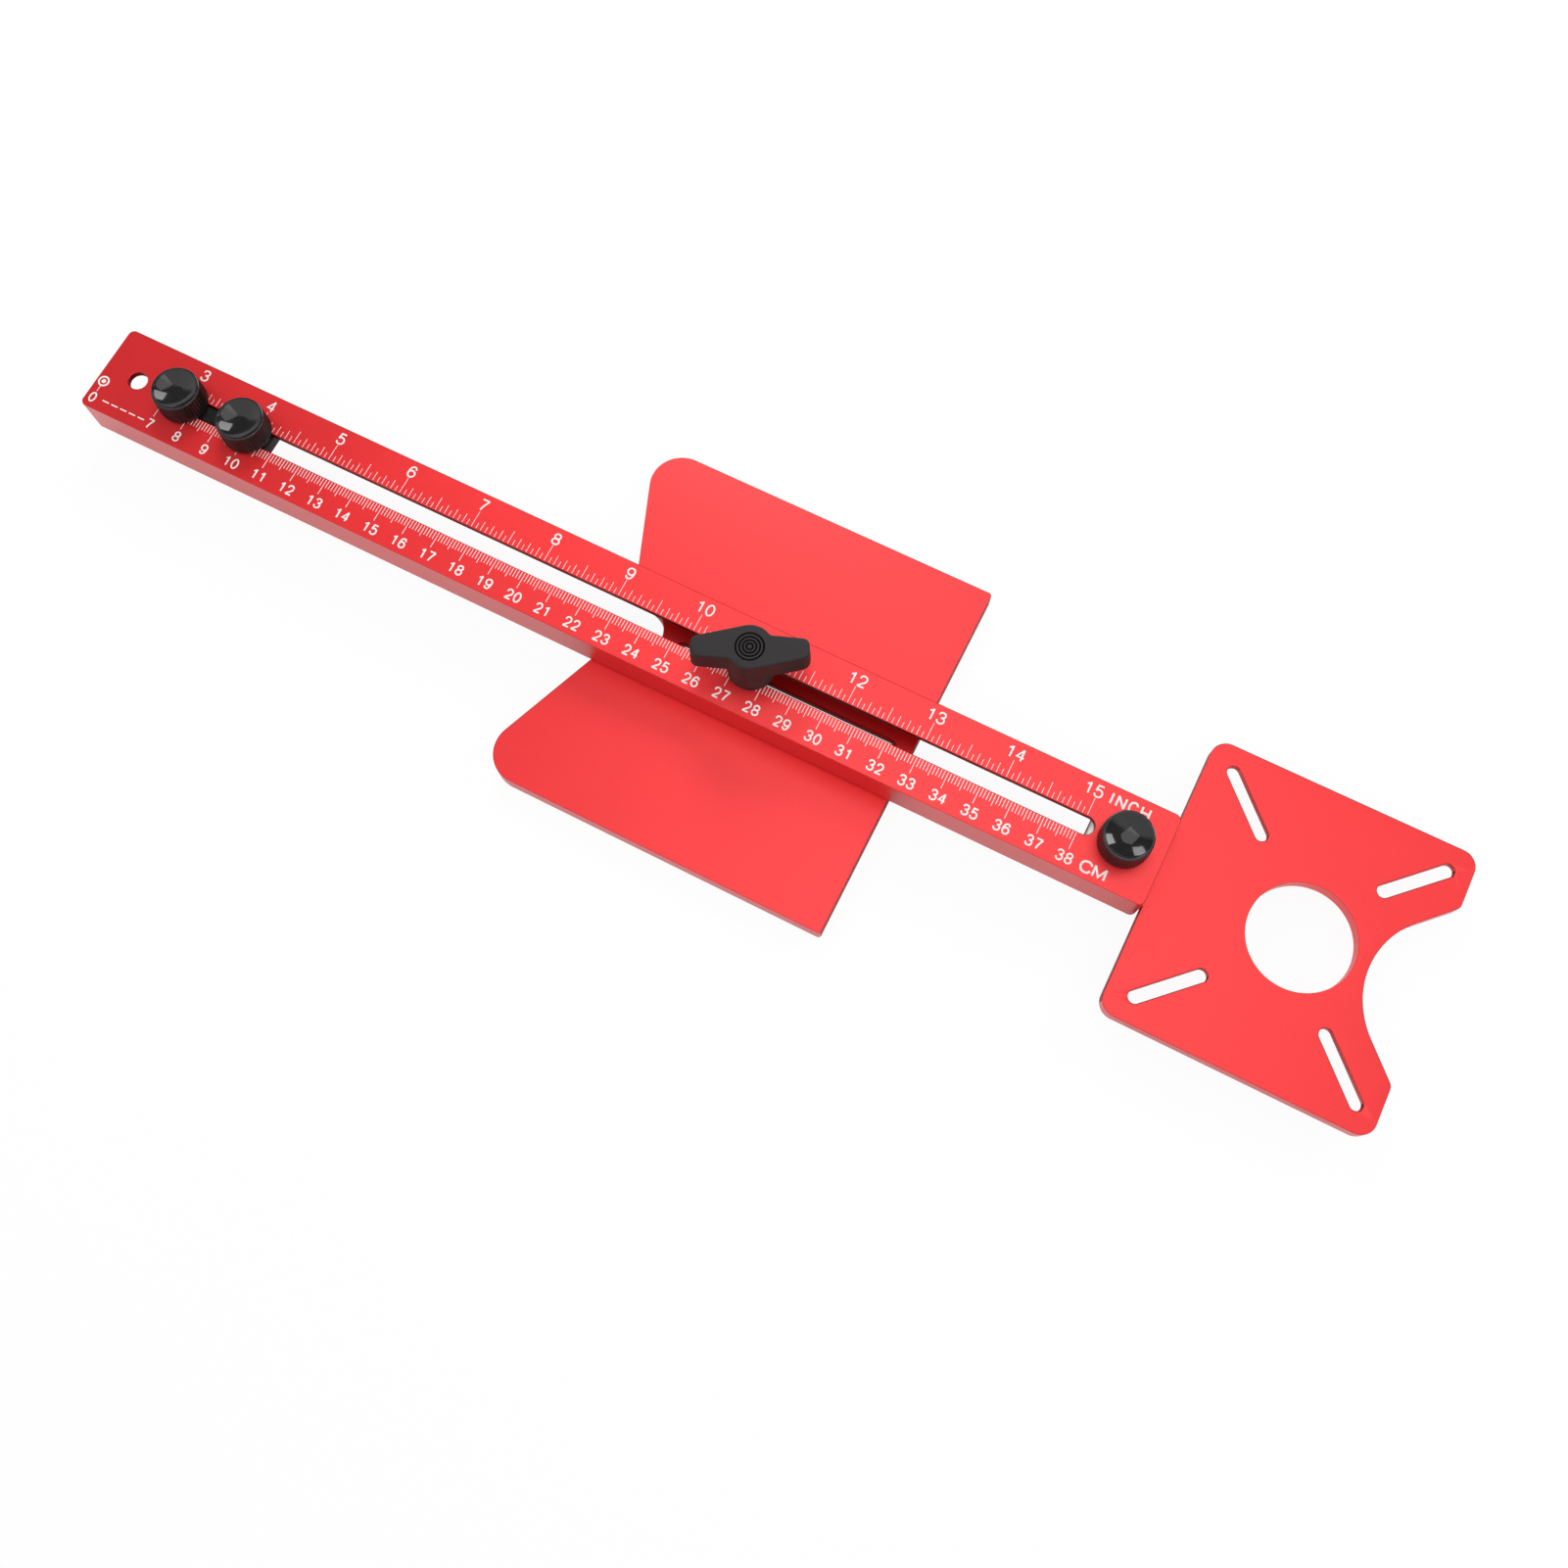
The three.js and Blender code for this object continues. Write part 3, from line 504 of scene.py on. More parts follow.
def makeBar():
    outline = rectanglePath(barLow.x, barHigh.x, barHalf, bar["cornerRadius"])
    slotLength = barHigh.x - barLow.x - 2 * bar["slotMargin"]
    cuts = [slotPath(((barLow.x + barHigh.x) / 2, 0), slotLength, bar["slotWidth"])]
    cuts += [circlePath((x, 0), bar["holeRadius"])
             for x in (barLow.x + bar["holeMargin"], barHigh.x - bar["holeMargin"])]
    holes = [wallRings(path, barFoot, barTop, bar["cutEdge"], bar["cutEdge"], -1) for path in cuts]
    block = walled("scaleBar", wallRings(outline, barFoot, barTop, bar["cutEdge"], bar["arris"]), holes)
    section = roundedPath([
        (-channelHalf, barFoot - bar["overrun"], 0), (channelHalf, barFoot - bar["overrun"], 0),
        (channelHalf, channelRoof, bar["rootFillet"]), (-channelHalf, channelRoof, bar["rootFillet"])])
    channel = walled("channel", [(section, barLow.x - bar["overrun"]), (section, barHigh.x + bar["overrun"])])
    channel.data.transform(Matrix(((0, 0, 1, 0), (1, 0, 0, 0), (0, 1, 0, 0), (0, 0, 0, 1))))
    place(combine(block, "DIFFERENCE", channel), red, "bar", "red_anodised", "scale_bar")
    # painted shade: deep on the ends, far arrises and walls in the slot and holes, lighter on the front
    edge = bar["slotWidth"] / 2 + bar["arris"]
    dressEdges(block, lambda spot: abs(spot.y) < edge and barLow.x + edge < spot.x < barHigh.x - edge)


makeBar()
print("Scale bar ready")


# Router base plate with its tongue

plateLow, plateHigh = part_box("router_base_plate")
routerPlate = {
    "length": 81.2 * mm, "tongueHalf": 12.0 * mm, "cornerRadius": 5.0 * mm, "arris": 0.25 * mm,
    "holeRadius": 16.0 * mm, "holeFromEdge": 43.9 * mm, "hornTip": 3.0 * mm, "hornGap": 28.07 * mm,
    "notchRoot": 26.2 * mm, "tongueCorner": 1.0 * mm, "screwWidth": 4.0 * mm, "slotsFromEdge": 41.25 * mm,
    "slotInner": (18.7 * mm, 23.0 * mm), "slotOuter": (32.9 * mm, 36.9 * mm), "sinkFlare": 1.8 * mm,
    "sinkDepth": 2.6 * mm, "cutEdge": 0.25 * mm,
}
endAxis = barHigh.x - bar["holeMargin"]
studHole = 2.7 * mm


def makeRouterPlate():
    p = routerPlate
    right, half, foot, top = plateHigh.x, plateHigh.y, plateLow.z, plateHigh.z
    left = right - p["length"]
    outline = roundedPath([
        (plateLow.x, -p["tongueHalf"], p["tongueCorner"]), (left, -p["tongueHalf"], 0),
        (left, -half, p["cornerRadius"]), (right, -half, p["cornerRadius"]),
        (right, -p["hornGap"], p["hornTip"]), (right - p["hornGap"], 0, p["notchRoot"]),
        (right, p["hornGap"], p["hornTip"]), (right, half, p["cornerRadius"]),
        (left, half, p["cornerRadius"]), (left, p["tongueHalf"], 0),
        (plateLow.x, p["tongueHalf"], p["tongueCorner"])])
    holes = [wallRings(circlePath((left + p["holeFromEdge"], 0), p["holeRadius"]), foot, top,
                       p["cutEdge"], p["cutEdge"], -1)]
    holes.append(wallRings(circlePath((endAxis, 0), studHole), foot, top, p["cutEdge"], p["cutEdge"], -1))
    inner, outer = Vector(p["slotInner"]), Vector(p["slotOuter"])
    reach, middle, slant = (outer - inner).length, (outer + inner) / 2, math.atan2(*(outer - inner).yx)
    for alongSide, acrossSide in ((1, 1), (1, -1), (-1, 1), (-1, -1)):
        centre = (left + p["slotsFromEdge"] + alongSide * middle.x, acrossSide * middle.y)
        narrow = slotPath(centre, reach + p["screwWidth"], p["screwWidth"], alongSide * acrossSide * slant)
        upper = wallRings(narrow, foot, top, 0, p["cutEdge"], -1)[-curves["arrisSteps"] - 1:]
        holes.append([(offsetPath(narrow, -p["sinkFlare"]), foot), (narrow, foot + p["sinkDepth"])] + upper)
    plate = walled("routerBasePlate", wallRings(outline, foot, top, p["arris"], p["arris"]), holes)
    place(plate, red, "bar", "red_anodised", "router_base_plate")
    # painted shade on the plate's ends, far arrises and front; the router hole's wall keeps the plain red
    dressEdges(plate, lambda spot: False)
    holeCentre = Vector((left + p["holeFromEdge"], 0))
    for face in plate.data.polygons:
        if (face.center.xy - holeCentre).length < p["holeRadius"] + 2 * p["cutEdge"]:
            face.material_index = shade["plain"]


makeRouterPlate()


# Bare spacer between the tongue and the bar's roof

spacer = {"arris": 0.2 * mm, "cornerRadius": 1.0 * mm, "endDepth": 1.0 * mm, "facingBelow": -0.3,
          "uprightBelow": 0.2}


def makeSpacer():
    low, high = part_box("tongue_spacer")
    outline = rectanglePath(low.x, high.x, high.y, spacer["cornerRadius"])
    hole = wallRings(circlePath((endAxis, 0), studHole), low.z, high.z, spacer["arris"], spacer["arris"], -1)
    rings = wallRings(outline, low.z, high.z, spacer["arris"], bar["rootFillet"])
    piece = walled("tongueSpacer", rings, [hole])
    place(piece, milledAluminium, "bar", "bare_aluminium", "tongue_spacer")
    piece.data.materials.append(paintedShadeAluminium)  # painted shade on the upright end that shows in the bar's slot
    for face in piece.data.polygons:
        upright = face.normal.x < spacer["facingBelow"] and abs(face.normal.z) < spacer["uprightBelow"]
        if upright and face.center.x < low.x + spacer["endDepth"]:
            face.material_index = 1


makeSpacer()
print("Router plate and spacer ready")


# Fence plate

fenceLow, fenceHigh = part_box("fence_plate")
fence = {
    "length": 117.5 * mm, "arris": 0.25 * mm, "edgeCorner": 1.0 * mm, "notchCorner": 10.0 * mm,
    "notchDepth": 23.0 * mm, "reliefRadius": 9.0 * mm, "reliefSet": 1.45 * mm, "slotWidth": 5.3 * mm,
    "edgeWeb": 4.8 * mm, "reliefWeb": 5.05 * mm, "slotChamfer": 0.5 * mm, "recessDepth": 3.8 * mm,
    "recessHalf": 4.3 * mm, "recessEnd": 2.27 * mm, "recessCorner": 1.0 * mm,
    # how far past the slot and recess the deep painted shade reaches
    "shadeBeyondEnd": 3.0 * mm, "shadeBeyondSide": 0.1 * mm,
}


def makeFence():
    f = fence
    right, half, foot, top = fenceHigh.x, fenceHigh.y, fenceLow.z, fenceHigh.z
    left = right - f["length"]
    apex = left + f["notchDepth"]
    middle, radius = apex + f["reliefSet"], f["reliefRadius"]
    meet = apex - f["notchDepth"] * radius / half
    relieved = [(meet, radius), *arc((middle, 0), radius, math.pi / 2, -math.pi), (meet, -radius)]
    outline = roundedPath(
        [(right, -half, f["edgeCorner"]), (right, half, f["edgeCorner"]), (left, half, f["notchCorner"])]
        + [(x, y, 0) for x, y in relieved] + [(left, -half, f["notchCorner"])])
    slotLeft = middle + radius + f["reliefWeb"]
    slotRight = right - f["edgeWeb"]
    narrow = slotPath(((slotLeft + slotRight) / 2, 0), slotRight - slotLeft, f["slotWidth"])
    recess = rectanglePath(slotLeft - f["recessEnd"], slotRight + f["recessEnd"],
                           f["recessHalf"], f["recessCorner"])
    shelf = foot + f["recessDepth"]
    chamfered = [(narrow, top - f["slotChamfer"]), (offsetPath(narrow, -f["slotChamfer"]), top)]
    rings = [(recess, foot), (recess, shelf), (narrow, shelf)] + chamfered
    plate = walled("fencePlate", wallRings(outline, foot, top, f["arris"], f["arris"]), [rings])
    place(plate, red, "fence", "red_anodised", "fence_plate")
    # painted shade: deep on ends, far arrises and walls around the slot and recess, lighter on the front
    dressEdges(plate, lambda spot: abs(spot.y) < f["recessHalf"] + f["shadeBeyondSide"]
               and slotLeft - f["shadeBeyondEnd"] < spot.x < slotRight + f["shadeBeyondEnd"])


makeFence()
print("Fence plate ready")


# Threaded rods, washers, inserts and the pivot pin

thread = {"pitch": 0.8 * mm, "depth": 0.42 * mm, "chamfer": 0.6 * mm, "sides": 40, "ringsPerPitch": 8,
          "crispness": 0.8, "clearOfTip": 0.01 * mm}


def makeRod(name, centre, radius, bottom, top, threadBottom, threadTop):
    count = round((top - bottom - 2 * thread["chamfer"]) / thread["pitch"] * thread["ringsPerPitch"])
    low, high = bottom + thread["chamfer"], top - thread["chamfer"]
    side = [(radius, low + (high - low) * k / count) for k in range(count + 1)]
    tip = radius - thread["chamfer"]
    rod = turned(name, [(0, bottom), (tip, bottom), *side, (tip, top), (0, top)], centre, thread["sides"])
    return runTree(rod, ripple, {
        "Centre": (centre[0], centre[1], 0), "Count": 1, "Depth": thread["depth"],
        "Turns per metre": 1 / thread["pitch"], "Bottom": threadBottom, "Top": threadTop,
        "Fade": thread["pitch"] / 2, "Inner radius": tip + thread["clearOfTip"],
        "Crispness": thread["crispness"], "Material": zincSteel})


def makeStuds():
    for node, body in (("end_knob_stud", "end_knob"), ("slider_stud_left", "left_slider_knob"),
                       ("slider_stud_right", "right_slider_knob")):
        low, high, centre = measure(node)
        rod = makeRod(node.replace("_", ""), centre, (high.x - low.x) / 2, low.z, high.z, low.z, high.z)
        place(rod, zincSteel, body, "zinc_steel", node)


washer = {"bore": 2.7 * mm, "edge": 0.12 * mm}


def makeWashers():
    for node, body, material, slot in (
            ("end_knob_washer", "bar", zincSteel, "zinc_steel"),
            ("slider_washer_left", "slider", zincSteel, "zinc_steel"),
            ("slider_washer_right", "slider", zincSteel, "zinc_steel"),
            ("wing_washer", "fence_carriage", mattBlack, "matt_black")):
        low, high, centre = measure(node)
        radius, edge = (high.x - low.x) / 2, washer["edge"]
        profile = [(washer["bore"], low.z), (radius - edge, low.z), (radius, low.z + edge),
                   (radius, high.z - edge), (radius - edge, high.z), (washer["bore"], high.z)]
        ring = turned(node.replace("_", ""), profile, centre, ring=True)
        place(ring, material, body, slot, node)


bolt = {"acrossFlats": 8.0 * mm, "headHeight": 3.4 * mm, "headChamfer": 0.45 * mm, "radius": 2.5 * mm}


def makeFenceBolt():
    low, high, centre = measure("fence_bolt")
    headTop = low.z + bolt["headHeight"]
    circle = bolt["acrossFlats"] / math.sqrt(3)
    hexagon = [(centre[0] + circle * math.cos(math.radians(60 * k + 30)),
                circle * math.sin(math.radians(60 * k + 30))) for k in range(6)]
    head = walled("boltHead", [(offsetPath(hexagon, bolt["headChamfer"]), low.z),
                               (hexagon, low.z + bolt["headChamfer"]), (hexagon, headTop)])
    shankFoot = low.z + bolt["headHeight"] / 2
    shank = makeRod("fenceBolt", centre, bolt["radius"], shankFoot, high.z, headTop, high.z)
    shank.data.materials.clear()
    place(combine(shank, "UNION", head), zincSteel, "fence_bolt", "zinc_steel", "fence_bolt")


insert = {"bore": 2.7 * mm, "flange": 0.8 * mm, "barrel": 3.8 * mm, "edge": 0.2 * mm}


def makeInserts():
    for side in ("left", "right"):
        low, high, centre = measure("slider_insert_" + side)
        radius, flangeTop = (high.x - low.x) / 2, low.z + insert["flange"]
        bore, barrel, edge = insert["bore"], insert["barrel"], insert["edge"]
        profile = [(bore, low.z), (radius - edge, low.z), (radius, low.z + edge), (radius, flangeTop),
                   (barrel, flangeTop), (barrel, high.z), (bore, high.z)]
        ring = turned("sliderInsert" + side.title(), profile, centre, ring=True)
        place(ring, brass, "slider", "brass", "slider_insert_" + side)
    low, high, centre = measure("wing_knob_insert")
    radius = (high.x - low.x) / 2
    profile = [(insert["bore"], low.z), (radius, low.z), (radius, high.z), (insert["bore"], high.z)]
    ring = turned("wingKnobInsert", profile, centre, ring=True)
    place(ring, brass, "wing_knob", "brass", "wing_knob_insert")


pin = {"radius": 2.5 * mm, "point": 1.2 * mm, "collar": 5.0 * mm, "collarThickness": 1.4 * mm,
       "edge": 0.15 * mm, "seat": 0.05 * mm}


def makePivotPin():
    low, high, centre = measure("pivot_pin")
    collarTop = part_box("slider_block")[0].z - pin["seat"]
    collarFoot = collarTop - pin["collarThickness"]
    nose = [(pin["radius"] - pin["point"] * (1 - math.sin(t)), low.z + pin["point"] * (1 - math.cos(t)))
            for t in (math.radians(15 * k) for k in range(7))]
    profile = [(0, low.z), *nose, (pin["radius"], collarFoot), (pin["collar"] - pin["edge"], collarFoot),
               (pin["collar"], collarFoot + pin["edge"]), (pin["collar"], collarTop - pin["edge"]),
               (pin["collar"] - pin["edge"], collarTop), (pin["radius"], collarTop),
               (pin["radius"], high.z), (0, high.z)]
    place(turned("pivotPin", profile, centre), zincSteel, "slider", "zinc_steel", "pivot_pin")


makeStuds()
makeWashers()
makeFenceBolt()
makeInserts()
makePivotPin()
print("Screws, washers, inserts and pin ready")


# Slider block, whose rib runs in the bar's slot

slider = {
    "ribLength": 34.2 * mm, "ribHalf": 2.6 * mm, "ribRise": 1.5 * mm, "ribFootArris": 0.01 * mm,
    "cornerRadius": 1.5 * mm, "arris": 0.25 * mm, "insertHole": 3.95 * mm, "insertDepth": 3.4 * mm,
    "pinHole": 2.65 * mm, "pinDepth": 4.35 * mm, "overrun": 1.0 * mm,
}


def makeSlider():
    s = slider
    low, high, centre = measure("slider_block")
    foot, deck = low.z - s["overrun"], high.z - s["ribRise"]
    outline = rectanglePath(low.x, high.x, high.y, s["cornerRadius"])
    block = walled("sliderBlock", wallRings(outline, low.z, deck, s["arris"], bar["rootFillet"]))
    ridge = slotPath(centre, s["ribLength"], 2 * s["ribHalf"])
    rib = walled("rib", wallRings(ridge, deck - s["overrun"], high.z, s["ribFootArris"], s["arris"]))
    combine(block, "UNION", rib)
    cutters = []
    for side in ("left", "right"):
        shoulder, over = low.z + s["insertDepth"], high.z + s["overrun"]
        cutters.append(turned("insertHole", [
            (0, foot), (s["insertHole"], foot), (s["insertHole"], shoulder), (studHole, shoulder),
            (studHole, over), (0, over)], measure("slider_insert_" + side)[2]))
    cutters.append(turned("pinHole", [
        (0, foot), (s["pinHole"], foot), (s["pinHole"], low.z + s["pinDepth"]), (0, low.z + s["pinDepth"])],
        centre))
    combine(block, "DIFFERENCE", *cutters)
    place(block, gripBlack, "slider", "matt_black", "slider_block")


makeSlider()
print("Slider ready")


# Round clamping knobs

knob = {
    "taper": 0.25 * mm, "footChamfer": 0.3 * mm, "rimRound": 0.5 * mm, "rimWidth": 0.15 * mm,
    "lipRound": 0.25 * mm, "dishDepth": 1.9 * mm, "pipHeight": 0.15 * mm, "pipRadius": 1.5 * mm,
    "ribCount": 48, "ribDepth": 0.45 * mm, "ribCrispness": 0.7, "ribsBelowTop": 0.1 * mm,
    "ribMargin": 0.01 * mm, "footRecess": 0.9 * mm, "recessRadius": 6.75 * mm, "socketRadius": 2.7 * mm,
    "socketDepth": 6.05 * mm, "sides": 384, "sideRings": 10, "dishRings": 26,
}


def makeKnob(name, node, body):
    k = knob
    low, high, centre = measure(node)
    base, foot, top = (high.y - low.y) / 2, low.z, high.z
    topRadius = base - k["taper"]
    recess, socketTop = foot + k["footRecess"], foot + k["socketDepth"]
    under = [(0, socketTop), (k["socketRadius"], socketTop), (k["socketRadius"], recess),
             (k["recessRadius"], recess), (k["recessRadius"], foot), (base - k["footChamfer"], foot)]
    sideFoot, sideTop = foot + k["footChamfer"], top - k["rimRound"]
    side = [(base + (topRadius - base) * t, sideFoot + (sideTop - sideFoot) * t)
            for t in (step / k["sideRings"] for step in range(k["sideRings"] + 1))]
    quarter = [math.radians(22.5 * step) for step in range(1, 5)]
    rim = [(topRadius - k["rimRound"] * (1 - math.cos(t)), sideTop + k["rimRound"] * math.sin(t))
           for t in quarter]
    lipRadius = topRadius - k["rimRound"] - k["rimWidth"]
    lip = [(lipRadius - k["lipRound"] * math.sin(t), top - k["lipRound"] * (1 - math.cos(t)))
           for t in (0, *quarter[:3])]
    bowlRadius = lip[-1][0]
    bowl = []
    for step in range(k["dishRings"] + 1):
        r = bowlRadius * (1 - step / k["dishRings"])
        pip = k["pipHeight"] * max(0, 1 - (r / k["pipRadius"]) ** 2)
        bowl.append((r, lip[-1][1] - k["dishDepth"] * (1 - (r / bowlRadius) ** 2) + pip))
    piece = turned(name, under + side + rim + lip + bowl[1:], centre, k["sides"])
    floor = lip[-1][1] - k["dishDepth"]
    runTree(piece, ripple, {
        "Centre": (centre[0], centre[1], 0), "Count": k["ribCount"], "Depth": k["ribDepth"],
        "Turns per metre": 0.0, "Bottom": foot, "Top": top - k["ribsBelowTop"], "Fade": k["rimRound"],
        "Inner radius": topRadius - k["rimRound"] - k["ribMargin"], "Crispness": k["ribCrispness"],
        "Material": glossBlack})
    place(piece, glossBlack, body, "gloss_black", node)
    piece.data.materials.append(pipHighlightBlack)  # rougher black on the pip, whose lighter colour is a painted soft highlight
    piece.data.materials.append(gripBlack)  # for the ribbed side
    for face in piece.data.polygons:
        away = (face.center.xy - Vector(centre)).length
        if away > topRadius - k["rimRound"] and face.center.z < sideTop:
            face.material_index = 2
        elif away < k["pipRadius"] and face.center.z > floor:
            face.material_index = 1


makeKnob("endKnob", "end_knob", "end_knob")
makeKnob("sliderKnobLeft", "slider_knob_left", "left_slider_knob")
makeKnob("sliderKnobRight", "slider_knob_right", "right_slider_knob")
print("Round knobs ready")


# Wing knob that clamps the fence plate

wing = {
    "hubRadius": 7.15 * mm, "hubFoot": 7.05 * mm, "hubChamfer": 0.3 * mm, "hubInset": 0.15 * mm,
    "hubOverlap": 0.2 * mm, "depth": 8.6 * mm, "draft": 0.3 * mm, "reach": 17.4 * mm,
    "trailing": 2.6 * mm, "leading": 3.75 * mm, "leadingRadius": 3.0 * mm, "trailingRadius": 2.5 * mm,
    "taper": 0.11, "rootTries": 24, "rootFillet": 1.5 * mm, "filletSteps": 3,
    "lowerBevel": 0.8 * mm, "topRound": 0.55 * mm,
    "restTurn": math.radians(27.2), "grooveRadii": (0.95 * mm, 1.95 * mm, 3.0 * mm, 4.1 * mm),
    "grooveWidth": 0.56 * mm, "grooveDepth": 0.8 * mm, "socketRadius": 3.65 * mm, "socketDepth": 10.8 * mm,
    "overrun": 1.0 * mm,
}


def wingPath():
    w = wing
    hub, reach = w["hubRadius"], w["reach"]
    tangent = -math.atan2(w["leading"], reach) - math.acos(hub / math.hypot(reach, w["leading"]))
    root = hub  # found step by step: where the wing's edge meets the hub
    for _ in range(w["rootTries"]):
        root = math.sqrt(hub ** 2 - (w["trailing"] + w["taper"] * (reach - root)) ** 2)
    rootHeight = w["trailing"] + w["taper"] * (reach - root)
    rootTurn = math.atan2(rootHeight, root)
    half = [(reach, -w["leading"], w["leadingRadius"]), (reach, w["trailing"], w["trailingRadius"]),
            (root, rootHeight, w["rootFillet"])]
    around = arc((0, 0), hub, rootTurn, math.pi + tangent - rootTurn)
    half += [(x, y, 0) for x, y in around[w["filletSteps"]:]]
    return roundedPath(half + [(-x, -y, radius) for x, y, radius in half])


def makeWingKnob():
    w = wing
    low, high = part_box("wing_knob")
    centre = measure("fence_bolt")[2]
    turn = Matrix.Rotation(w["restTurn"], 2)
    outline = [tuple(turn @ Vector(point) + Vector(centre)) for point in wingPath()]
    wingFoot = high.z - w["depth"]
    bevelled = wingFoot + w["lowerBevel"]
    drawnIn = offsetPath(outline, w["draft"])
    upper = wallRings(drawnIn, wingFoot, high.z, 0, w["topRound"])[-curves["arrisSteps"] - 1:]
    lower = [(offsetPath(outline, w["lowerBevel"]), wingFoot), (outline, bevelled)]
    wings = walled("wingKnob", lower + upper)
    chamfer, hubTop = w["hubChamfer"], bevelled + w["hubOverlap"]
    hub = turned("hub", [
        (0, low.z), (w["hubFoot"] - chamfer, low.z), (w["hubFoot"], low.z + chamfer),
        (w["hubRadius"] - w["hubInset"], hubTop), (0, hubTop)], centre)
    combine(wings, "UNION", hub)
    over, shoulder, half = high.z + w["overrun"], high.z - w["grooveDepth"] / 3, w["grooveWidth"] / 2
    cutters = [turned("groove", [
        (radius, high.z - w["grooveDepth"]), (radius + half, shoulder), (radius + half, over),
        (radius - half, over), (radius - half, shoulder)], centre, ring=True) for radius in w["grooveRadii"]]
    under, socketTop = low.z - w["overrun"], low.z + w["socketDepth"]
    cutters.append(turned("socket", [
        (0, under), (w["socketRadius"], under), (w["socketRadius"], socketTop), (0, socketTop)], centre))
    combine(wings, "DIFFERENCE", *cutters)
    place(wings, mattBlack, "wing_knob", "matt_black", "wing_knob")


makeWingKnob()
print("Wing knob ready")


# Printed scales. Places along the bar are measured from the zero of each scale

prints = {
    "depth": 0.04 * mm, "thickness": 0.2 * mm, "inchThickness": 0.16 * mm,
    "zeroBeforeEnd": 47.5 * mm, "inch": 25.4 * mm, "cmStart": 3.1 * mm, "inchStart": 3.1 * mm,
    "cmShift": 1.0 * mm, "inchShift": 0.7 * mm, "cmFirst": 7, "cmLast": 38, "inchFirst": 3, "inchLast": 15,
    "cmLengths": (2.7 * mm, 3.65 * mm, 3.65 * mm, 5.4 * mm),  # fine, middle, half and whole marks
    "inchLengths": (1.9 * mm, 3.1 * mm, 4.4 * mm, 5.55 * mm),
    "cmNumeral": (-11.15 * mm, 3.55 * mm, 2.3 * mm),  # middle, height and width of a figure
    "inchNumeral": (10.9 * mm, 4.0 * mm, 2.7 * mm),
    "numeralGap": 0.45 * mm, "numeralPen": 0.5 * mm,
    "cmNudge": 0.35 * mm, "cmNudges": {38: -0.6 * mm},
    "inchNudges": {3: 0.9 * mm, 12: -0.35 * mm, 13: -0.35 * mm, 14: -0.4 * mm, 15: -1.3 * mm},
    "wordPen": 0.61 * mm, "wordGap": 0.75 * mm, "wordHeight": 3.85 * mm,
    "words": [("I", 386.0 * mm, 10.75 * mm, 2.95 * mm), ("NCH", 392.6 * mm, 10.75 * mm, 2.95 * mm),
              ("C", 387.5 * mm, -11.15 * mm, 3.8 * mm), ("M", 391.6 * mm, -11.15 * mm, 4.0 * mm)],
    "penLimit": 1.7, "curveSteps": 6,
}
scaleZero = barLow.x - prints["zeroBeforeEnd"]
printHeight = barTop


def makeMarks(name, lengths, values):
    row = newPiece(name, [], [])
    named = zip(("Fine length", "Middle length", "Half length", "Whole length"), lengths)
    runTree(row, scaleMarks, {
        "Middle every": 1, "Half every": 1, "Whole every": 1, "Side": -1.0, **dict(named),
        "Thickness": prints["thickness"], "Ink depth": prints["depth"], "Material": ink, **values})
    place(row, ink, "bar", None)


def makeScales():
    p = prints
    makeMarks("centimetreMarks", p["cmLengths"], {
        "First": (scaleZero + p["cmShift"] + 10 * mm * p["cmFirst"], -p["cmStart"], printHeight),
        "Step": 1 * mm, "Count": 10 * (p["cmLast"] - p["cmFirst"]) + 1,
        "Middle every": 5, "Half every": 5, "Whole every": 10})
    makeMarks("inchMarks", p["inchLengths"], {
        "First": (scaleZero + p["inchShift"] + p["inch"] * p["inchFirst"], p["inchStart"], printHeight),
        "Step": p["inch"] / 16, "Count": 16 * (p["inchLast"] - p["inchFirst"]) + 1,
        "Middle every": 2, "Half every": 8, "Whole every": 16, "Side": 1.0, "Thickness": p["inchThickness"]})


